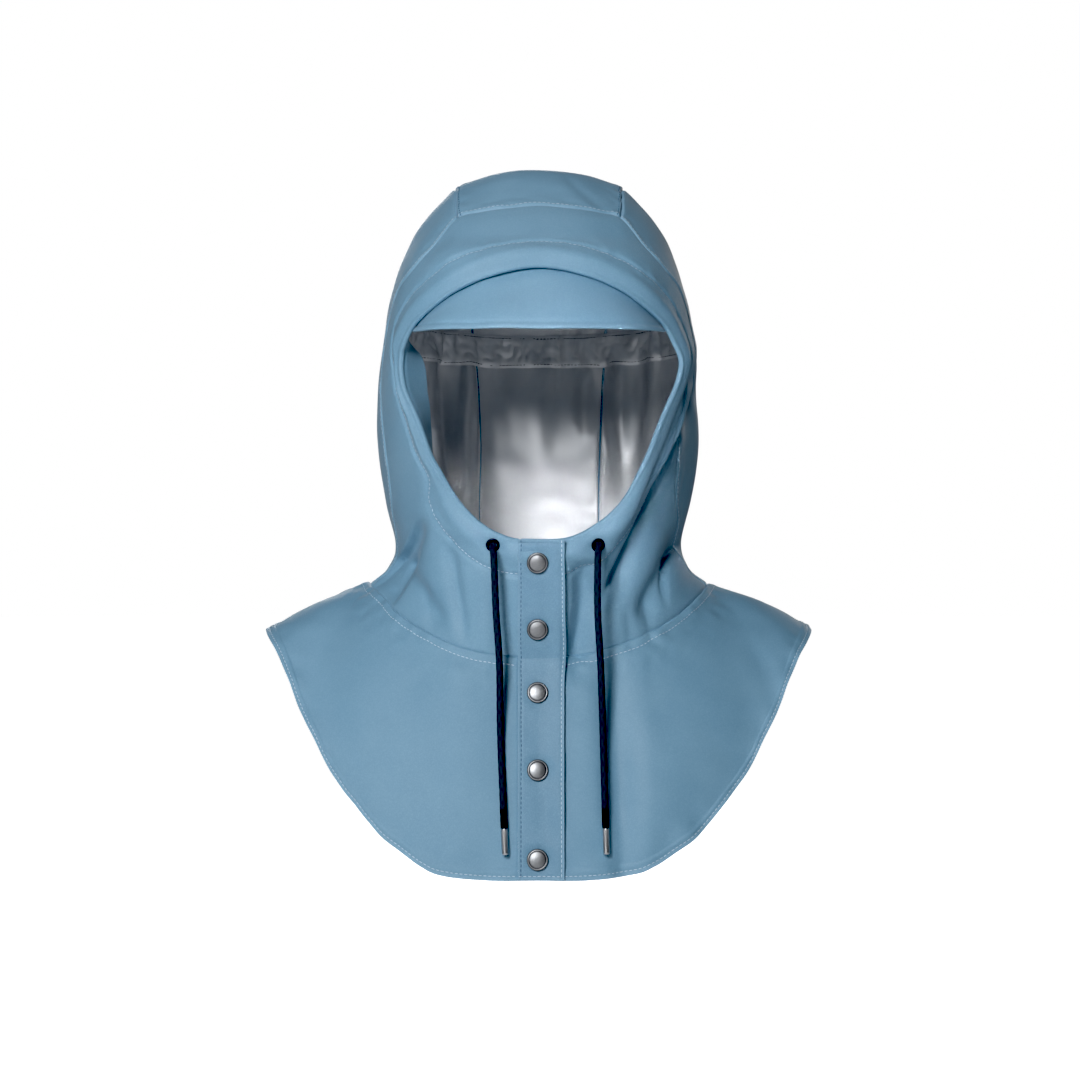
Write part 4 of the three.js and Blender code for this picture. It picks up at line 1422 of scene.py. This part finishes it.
BAND_CROWDING = 1.25  # the band's rows lie closer together near the face edge
# The casing's stitches hide in the fold of the wearer's left cheek, between these ribs.
CASING_ROW_END = 8
CASING_ROW_AGAIN = 14


def front_band():
    """The wide band round the face, with its edge turned over the facing, and its rows of stitches."""
    ribs = np.concatenate(
        [
            np.linspace(-SEWN_RIB, -NECK_RIB, 70, endpoint=False),
            np.linspace(-NECK_RIB, NECK_RIB, 300, endpoint=False),
            np.linspace(NECK_RIB, LAP_RIB, 76),
        ]
    )
    shares = np.linspace(0, 1, 61) ** BAND_CROWDING
    cloth, _ = charted_cloth(band_chart, ribs, shares)
    away = cloth.edges["top"]
    reach = casing_reach(ribs)[:, None]
    tunnel = bell(away - TUNNEL_MIDDLE * reach, TUNNEL_BREADTH * reach)
    height = TUNNEL_LIFT * tunnel * smooth(away / TUNNEL_START)
    height = height - CASING_DIP * bell(away - reach, CASING_DIP_WIDTH)
    height = height + wavy(cloth, "casing stitches") * bell(away - reach, CASING_PUCKER_REACH)
    height = height + wavy(cloth, "band") * off_seams(cloth) + worn(cloth, 43)
    height = height + seam_relief(cloth, "bottom")
    cloth = cloth.raised(height * away_from_eyelets(cloth.points))
    piece = cloth_piece("band_cloth", rolled_edge(cloth, FACE_ROLL, 9), "front_band", ["top", "bottom"])
    row = cloth.line("top", reach[:, 0])
    for side in EYELETS:
        pierce(piece.data, eyelet_seat(side)[0] * MM, (CORD_RADIUS + FIT_CLEARANCE) * MM)
    return piece, [[line[part] for line in row] for part in (ribs < CASING_ROW_END, ribs > CASING_ROW_AGAIN)]


# On the wearer's right cheek the facing swings in past the edge and shows. It swings most at one rib.
FLAP_RIB = 8
FLAP_ABOVE = 5
FLAP_BELOW = 9
FLAP_REST = -55  # degrees from straight back
FLAP_SWING = 93
FLAP_ONSET = 3
FLAP_ROOT = 6
# On the wearer's left cheek much of the facing is tucked away behind the fold.
FACING_FOLDED = 15
FOLDED_START = 4
FOLDED_END_FADE = 2
FACING_MOST = 0.9  # of the band's width


def face_facing():
    """The facing that makes the drawcord's tunnel, inside the face edge."""
    ribs = np.concatenate(
        [
            np.linspace(-SEWN_RIB, -NECK_RIB, 50, endpoint=False),
            np.linspace(-NECK_RIB, NECK_RIB, 250, endpoint=False),
            np.linspace(NECK_RIB, LAP_RIB, 56),
        ]
    )
    rib, share = np.meshgrid(ribs, np.linspace(0, 1, 22), indexing="ij")
    edge = hood_surface(*np.moveaxis(rib_end(rib, "edge"), -1, 0))
    out = hood_surface(*np.moveaxis(rib_end(rib, "out"), -1, 0))
    length = np.linalg.norm(edge - out, axis=-1)
    narrow = FACING_FOLDED * smooth((rib - FOLDED_START) / CHEEK_FADE)
    narrow = narrow * smooth((CHEEK_END - rib) / FOLDED_END_FADE)
    place = band_chart(rib, np.minimum(FACING_MOST, (FACE_CASING_WIDTH - narrow) / length) * share)
    cloth = over_map(place)
    height = -(CLOTH_WALL + FACING_SLACK) + wavy(cloth, "facing") * smooth(share * 2)
    cloth = cloth.raised(ridged(height, cloth, [("bottom", 0, 1.2, 2.5)]))
    above = smooth((FLAP_ABOVE - FLAP_RIB - rib) / FLAP_ABOVE)
    swing = above * smooth((FLAP_BELOW + FLAP_RIB + rib) / FLAP_BELOW)
    angle = np.radians(FLAP_REST + FLAP_SWING * swing)
    way = np.stack([np.sin(angle), np.cos(angle), np.zeros_like(angle)], -1)
    swung = cloth.points[:, :1] + (FACE_CASING_WIDTH * share)[..., None] * way
    taken = smooth(FLAP_ONSET * swing) * smooth(share * FLAP_ROOT)
    cloth = Cloth(mix(cloth.points, swung, taken), cloth.normals)
    return cloth_piece("facing_cloth", cloth, "face_casing", ["bottom"], [COATED])


CASING_EDGE_WIDTH = 2.2
CASING_EDGE_LIFT = 1.5
CASING_PUFF = 1.1


def back_casing():
    """The gathered casing inside, with its elastic, round the back of the head."""
    turns = np.linspace(-180 - BACK_CASING_TURN, BACK_CASING_TURN, 420)
    rises = np.linspace(BACK_CASING_TOP, BACK_CASING_FOOT, 23)
    turn, rise = np.meshgrid(turns, rises, indexing="ij")
    place = map_point(turn, rise)
    cloth = over_map(place)
    lift = -(CLOTH_WALL + BACK_CASING_SLACK) + gathers(cloth, place)
    ends = near_edge(cloth, ["top", "bottom"], CASING_EDGE_WIDTH)
    puffs = wavy(cloth, "elastic") * (1 - ends)
    cloth = cloth.raised(lift + CASING_EDGE_LIFT * ends - CASING_PUFF * np.abs(puffs))
    piece = cloth_piece(
        "casing_cloth",
        cloth,
        "back_casing",
        edges=["top", "bottom"],
        looks=[SILVER],
        wall=BACK_CASING_WALL,
    )
    return piece, cloth


def peak_form(side, share):
    """The peak from its root behind the brow's edge to its free edge."""
    root_place = band_chart(PEAK_RIBS * side, np.full_like(side, PEAK_ROOT))
    root, normal = frame_of(plain_hood, root_place[..., 0], root_place[..., 1], MAP_STEP)
    root = root - normal * (2 * CLOTH_WALL + FACING_SLACK + PEAK_SLACK)
    turn = side * math.pi / 2
    free = np.stack(
        [
            PEAK_HALF_WIDTH * np.sin(turn),
            -PEAK_END_REACH - PEAK_REACH * np.cos(turn),
            -PEAK_DROP - PEAK_DIP * np.cos(turn),
        ],
        -1,
    )
    bow = PEAK_CROWN * np.cos(turn) * np.sin(math.pi * share) * share**2
    bowed = np.stack([np.zeros_like(bow), -bow, bow], -1)
    return mix(root, free, share) + bowed


PEAK_CALM = 8  # how far from its root the peak's waves begin
PEAK_RIDGES = [("bottom", 1.5, 0.5, 2), ("bottom", 5, -0.4, 1.6)]


def peak():
    """The soft peak under the brow."""
    cloth = lay(peak_form, np.linspace(-PEAK_SPAN, PEAK_SPAN, 150), np.linspace(0, 1, 46), SHARE_STEP)
    height = wavy(cloth, "peak") * smooth(cloth.edges["top"] / PEAK_CALM)
    cloth = cloth.raised(ridged(height, cloth, PEAK_RIDGES))
    return cloth_piece("peak_cloth", cloth, "peak", ["bottom"], [COATED], wall=PEAK_WALL)


HEM_WIDTH = 7
HEM_LIFT = 0.5
HEM_SLOPE = 1.2
HEM_RIPPLE_REACH = 16
NECK_RIPPLE = 6  # from the neck seam to the middle of its ripples
NECK_RIPPLE_REACH = 9
CAPE_CALM = 30  # how far from the neck seam the cape's long waves begin
NECK_TUCK = 0.011  # how far the cape runs up under the hood's edge, as a share of its length
NECK_STITCH = 8
HEM_STITCH = 3.2


def cape():
    """The shoulder cape, one cloth folded at the shoulders."""
    places = np.concatenate(
        [
            np.linspace(front_place(FRONT_EDGE_GAP - SEWN_EDGE), 2, 34, endpoint=False),
            np.linspace(2, CAPE_ROUND - 2, 400, endpoint=False),
            np.linspace(CAPE_ROUND - 2, CAPE_ROUND - front_place(SEWN_EDGE), 30),
        ]
    )
    shares = np.concatenate([[-NECK_TUCK, -NECK_TUCK / 2], crowded(86, 0.7)])
    cloth = lay(cape_surface, places, shares, SHARE_STEP)
    neck, hem = cloth.edges["top"], cloth.edges["bottom"]
    height = wavy(cloth, "cape") * smooth(neck / CAPE_CALM) + worn(cloth, 75)
    height = height + wavy(cloth, "hem") * bell(hem, HEM_RIPPLE_REACH)
    height = height + HEM_LIFT * (1 - smooth((hem - HEM_WIDTH) / HEM_SLOPE))
    height = height - STITCH_DIP * bell(hem - HEM_STITCH, STITCH_DIP_WIDTH)
    height = height + wavy(cloth, "neck") * bell(neck - NECK_RIPPLE, NECK_RIPPLE_REACH)
    height = height + seam_relief(cloth, "top", NECK_STITCH, 74)
    cloth = cloth.raised(height)
    return cloth_piece("cape_cloth", cloth, "cape", ["top", "bottom"]), cloth


FREE_EDGE_LIFT = 2.2
FREE_SHARE = 0.55  # of the placket's width, from where it stands off
FREE_SPAN = 0.45
PLACKET_TURN = 0.009  # how far the placket's turned top edge stands over the chin, as a share of its length
PLACKET_STITCH = 2.2
PLACKET_HEM_STITCH = 3
PLACKET_RIDGES = [
    ("start", PLACKET_STITCH, -0.3, 0.8),
    ("end", PLACKET_STITCH, -0.3, 0.8),
    ("bottom", PLACKET_HEM_STITCH, -0.3, 0.8),
    ("top", 1.2, 0.4, 1.2),
    ("top", 2.8, -0.6, 0.6),
]
# Under a snap the cloth is pressed in, with a soft ring round it.
SNAP_PRESS = 0.5
SNAP_RING = 1.7  # in radii of the cap
SNAP_RING_LIFT = 0.35
SNAP_RING_WIDTH = 3.5


def placket():
    """The front strip: sewn down on one side, and standing off a little on the other."""
    shares = crowded(34, 0.6)
    downs = np.concatenate(
        [np.linspace(-PLACKET_TURN, PLACKET_NECK, 84, endpoint=False), np.linspace(PLACKET_NECK, 1, 150)]
    )
    cloth = lay(placket_form(hood_surface, cape_surface), shares, downs, SHARE_STEP)
    free = smooth((shares[:, None] - FREE_SHARE) / FREE_SPAN)
    lift = PLACKET_SEAT + PLACKET_WALL + FREE_EDGE_LIFT * free
    height = ridged(lift + wavy(cloth, "placket"), cloth, PLACKET_RIDGES)
    for down in SNAP_PLACES:
        seat, _ = snap_seat(down)
        apart = np.linalg.norm(cloth.points - np.array(seat), axis=-1)
        height = height - SNAP_PRESS * bell(apart, SNAP_RADIUS)
        height = height + SNAP_RING_LIFT * bell(apart - SNAP_RING * SNAP_RADIUS, SNAP_RING_WIDTH)
    cloth = cloth.raised(height)
    # The placket takes the darker copy of the cloth, which is painted shade.
    return cloth_piece("placket_cloth", cloth, "placket", looks=[SHADED_COATED], wall=PLACKET_WALL), cloth


# Closure

plain_placket = placket_form(plain_hood, plain_cape)
DOME = 0.6  # the caps are flatter than their solids
DOME_FOOT = 1.45
DOME_RIM = 1.9  # from the cap's edge in to the dome
DOME_RUN = 4.9
GROOVE = 1.6  # from the cap's edge in to the groove of its rim
GROOVE_SHADE_WIDTH = 0.35
RIM_SHADE_WIDTH = 0.25


def snap_seat(down):
    """Where a press stud sits on the placket's form, and its outward direction."""
    return single(plain_placket, 0.5 + (SNAP_OFFSET - PLACKET_CENTRE) / PLACKET_WIDTH, down, SHARE_STEP)


def snap_cap(index, down):
    """A press-stud cap: a low brushed dome inside a rolled rim."""
    seat, normal = snap_seat(down)
    seat = seat + normal * (PLACKET_SEAT + PLACKET_WALL + SNAP_SEAT)
    rise = DOME * (SNAP_HEIGHT - DOME_FOOT)
    dome = []
    for share in np.linspace(0, 1, 7):
        across = SNAP_RADIUS - DOME_RIM - DOME_RUN * share
        dome.append((across, DOME_FOOT + rise * math.sin(share * math.pi / 2)))
    profile = [
        (0, 0),
        (SNAP_RADIUS - 0.7, 0),
        (SNAP_RADIUS - 0.15, 0.25),
        (SNAP_RADIUS, 0.75),
        (SNAP_RADIUS - 0.2, 1.2),
        (SNAP_RADIUS - 0.75, 1.5),
        (SNAP_RADIUS - 1.3, 1.5),
        (SNAP_RADIUS - 1.6, 1.3),
        *dome,
        (0, DOME_FOOT + rise),
    ]
    name = f"stud_cap_{index + 1}"
    mesh = spun(name, profile, 64, seat, normal)
    points = np.array([vertex.co for vertex in mesh.vertices])
    axis = np.array(normal)
    from_seat = points - np.array(seat) * MM
    radius = np.linalg.norm(from_seat - np.outer(from_seat @ axis, axis), axis=1) / MM
    # Painted shade: a mask for the darkening in the groove of the rim and at the cap's edge.
    painted_rim_shade = bell(radius - SNAP_RADIUS + GROOVE, GROOVE_SHADE_WIDTH)
    painted_rim_shade = np.maximum(painted_rim_shade, bell(radius - SNAP_RADIUS, RIM_SHADE_WIDTH))
    mesh.attributes.new("painted_rim_shade", "FLOAT", "POINT").data.foreach_set("value", painted_rim_shade)
    finished(mesh, name, [NICKEL], [f"snap_cap_{index + 1}"])


def eyelet(side):
    """An eyelet: a rolled lip round the cord's way out."""
    seat, normal = eyelet_seat(side)
    bore = CORD_RADIUS + FIT_CLEARANCE
    barrel = bore + EYELET_WALL
    lip = []
    for angle in np.linspace(0, math.pi, 9):
        across = barrel + EYELET_FLANGE / 2 + (EYELET_FLANGE / 2 + EYELET_WALL / 2) * math.cos(angle)
        lip.append((across, EYELET_SEAT + EYELET_LIP * math.sin(angle)))
    profile = [(barrel, -CLOTH_WALL), (barrel, EYELET_SEAT), *lip, (bore, EYELET_SEAT), (bore, -CLOTH_WALL)]
    profile.append(profile[0])
    name = f"cord_eyelet_{side}"
    mesh = spun(name, profile, 48, seat, normal)
    finished(mesh, name, [EYELET_LOOK], [f"eyelet_{side}"])


crown_cloth, crown_grid = crown_panel()
left_cloth, left_grid = side_panel("left", 1)
right_cloth, right_grid = side_panel("right", -1)
band_cloth, casing_rows = front_band()
facing_cloth = face_facing()
casing_cloth, casing_grid = back_casing()
peak_cloth = peak()
cape_cloth, cape_grid = cape()
placket_cloth, placket_grid = placket()
for index, down in enumerate(SNAP_PLACES):
    snap_cap(index, down)
for side in EYELETS:
    eyelet(side)


# Stitches

ELASTIC_STITCH = 2
INNER_SEAM_STITCH = 1.5
THREAD_STAND = 0.2  # how far an inner stitch stands off the cloth


def sew():
    """Every row of stitches that shows."""
    outer = "coated_cloth"
    inner = "lining_cloth"
    band_rows = [crown_grid.line("top", TOPSTITCH)]
    band_rows += [grid.line("start", TOPSTITCH) for grid in (left_grid, right_grid)]
    crown_rows = [crown_grid.line(edge, TOPSTITCH) for edge in ("start", "end")]
    sewn_rows = [placket_grid.line("start", PLACKET_STITCH)]
    free_rows = [placket_grid.line("end", PLACKET_STITCH), placket_grid.line("bottom", PLACKET_HEM_STITCH)]
    below = -BACK_CASING_WALL - THREAD_STAND
    elastic_rows = [casing_grid.line(edge, ELASTIC_STITCH, below) for edge in ("top", "bottom")]
    below = -CLOTH_WALL - THREAD_STAND
    seam_rows = [crown_grid.line(edge, INNER_SEAM_STITCH, below) for edge in ("start", "end")]
    fine = {"pitch": 2.8, "length": 2.6, "width": 0.8, "height": 0.6}
    return [
        stitches("band_topstitch", band_rows, PALE_THREAD, outer),
        stitches("crown_topstitch", crown_rows, BLUE_THREAD, outer),
        stitches("casing_topstitch", casing_rows, PALE_THREAD, outer),
        stitches("neck_topstitch", [cape_grid.line("top", NECK_STITCH)], PALE_THREAD, outer),
        stitches("hem_stitch", [cape_grid.line("bottom", HEM_STITCH)], PALE_THREAD, outer),
        stitches("placket_sewn_stitch", sewn_rows, BLUE_THREAD, outer),
        stitches("placket_free_stitch", free_rows, PALE_THREAD, outer),
        stitches("inside_casing_stitch", elastic_rows, INNER_THREAD, inner, **fine),
        stitches("inside_seam_stitch", seam_rows, INNER_THREAD, inner, **fine),
    ]


SEWN = {row.name: row for row in sew()}

# The cut of each cloth piece before sewing, in metres and square metres, as the built form measures. Each row
# has the piece, its flat size and area, how it is held, what it rests on and its rows of stitches.
CUTS = [
    (crown_cloth, (0.14, 0.485), 0.0551, "draped", [], ["crown_topstitch", "inside_seam_stitch"]),
    (left_cloth, (0.256, 0.33), 0.0588, "draped", ["crown_cloth"], []),
    (right_cloth, (0.256, 0.33), 0.0589, "draped", ["crown_cloth"], []),
    (band_cloth, (0.78, 0.15), 0.06, "draped", ["crown_cloth"], ["band_topstitch", "casing_topstitch"]),
    (facing_cloth, (0.76, 0.025), 0.014, "laid", ["band_cloth"], []),
    (casing_cloth, (0.52, 0.03), 0.0134, "gathered", ["crown_cloth"], ["inside_casing_stitch"]),
    (peak_cloth, (0.23, 0.058), 0.0082, "hung", ["band_cloth"], []),
    (
        cape_cloth,
        (1.36, 0.215),
        0.135,
        "draped",
        ["side_cloth_left", "side_cloth_right"],
        ["neck_topstitch", "hem_stitch"],
    ),
    (
        placket_cloth,
        (0.034, 0.24),
        0.0079,
        "laid",
        ["band_cloth", "cape_cloth"],
        ["placket_sewn_stitch", "placket_free_stitch"],
    ),
]
for piece, flat, area, held, rests_on, rows_on in CUTS:
    sewn_on = [SEWN[name] for name in rows_on]
    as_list(rests_on)


# Studio

def area_light(name, place, target, size, power, tall=None, spread=180):
    """A soft light aimed at a place, in metres, watts and degrees."""
    light = bpy.data.lights.new(name, "AREA")
    light.shape = "ELLIPSE"
    light.size = size
    light.size_y = tall or size
    light.spread = math.radians(spread)
    light.energy = power
    lamp = bpy.data.objects.new(name, light)
    lamp.location = place
    aim = Vector(target) - Vector(place)
    lamp.rotation_euler = aim.to_track_quat("-Z", "Y").to_euler()
    bpy.context.scene.collection.objects.link(lamp)


BLACK_LEVEL = 0.052  # the photograph's deep shadows
FLOOR_RADIUS = 12  # in metres, as its height is
FLOOR_HEIGHT = -0.75
FLOOR_GLOW = 0.02  # as it falls on the hood; the camera sees the floor and the surround white
SURROUND_GLOW = 0.018
WHITE = "#ffffff"


def lights():
    """A soft key light, a little light from above and behind, and a faint one on the lining."""
    middle = (0, 0, -0.28)
    area_light("key", (-0.56, -1.87, 0.48), middle, 0.55, 33.5, tall=0.8)
    area_light("top", (-0.2, -0.2, 1.4), middle, 0.8, 4.5)
    area_light("nape", (0.05, -1.5, 0.27), (0.03, 0.1, -0.28), 0.15, 0.036, spread=10)
    area_light("back", (-0.3, 2.3, 0.5), middle, 0.9, 15)
    area_light("back left", (1.25, 1.95, 0.35), middle, 0.7, 5.5)


def paper_floor():
    """A floor of pale matt paper, far below the hood."""
    shape = bmesh.new()
    bmesh.ops.create_circle(shape, cap_ends=True, radius=FLOOR_RADIUS, segments=96)
    bmesh.ops.translate(shape, verts=shape.verts, vec=(0, 0, FLOOR_HEIGHT))
    mesh = bpy.data.meshes.new("floor")
    shape.to_mesh(mesh)
    shape.free()
    floor = bpy.data.objects.new("floor", mesh)
    bpy.context.scene.collection.objects.link(floor)
    material, tree = new_material("pale_paper")
    place = node(tree, "ShaderNodeTexCoord").outputs["Object"]
    tooth = noise(tree, place, PAPER_TOOTH)
    face = blend(tree, tooth, colour("#f7f7f7"), colour(WHITE))
    bump = node(tree, "ShaderNodeBump", {"Height": tooth, "Strength": 0.05, "Distance": 0.0005})
    seen_ray = node(tree, "ShaderNodeLightPath").outputs["Is Camera Ray"]
    finish_material(
        tree,
        face,
        between(tree, tooth, 0.7, 0.9),
        bump.outputs["Normal"],
        Emission_Color=colour(WHITE),
        Emission_Strength=between(tree, seen_ray, FLOOR_GLOW, 1),
    )
    mesh.materials.append(material)


def surround():
    """A white surround, and a view with the photograph's contrast."""
    world = bpy.data.worlds.new("studio")
    bpy.context.scene.world = world
    world.use_nodes = True
    tree = world.node_tree
    tree.nodes.clear()
    ray = node(tree, "ShaderNodeLightPath").outputs["Is Camera Ray"]
    strength = between(tree, ray, SURROUND_GLOW, 1)
    background = node(tree, "ShaderNodeBackground", {"Color": colour(WHITE), "Strength": strength})
    node(tree, "ShaderNodeOutputWorld", {"Surface": background.outputs["Background"]})
    view = bpy.context.scene.view_settings
    view.view_transform = "Standard"
    view.use_curve_mapping = True
    view.curve_mapping.black_level = (BLACK_LEVEL, BLACK_LEVEL, BLACK_LEVEL)


lights()
paper_floor()
surround()
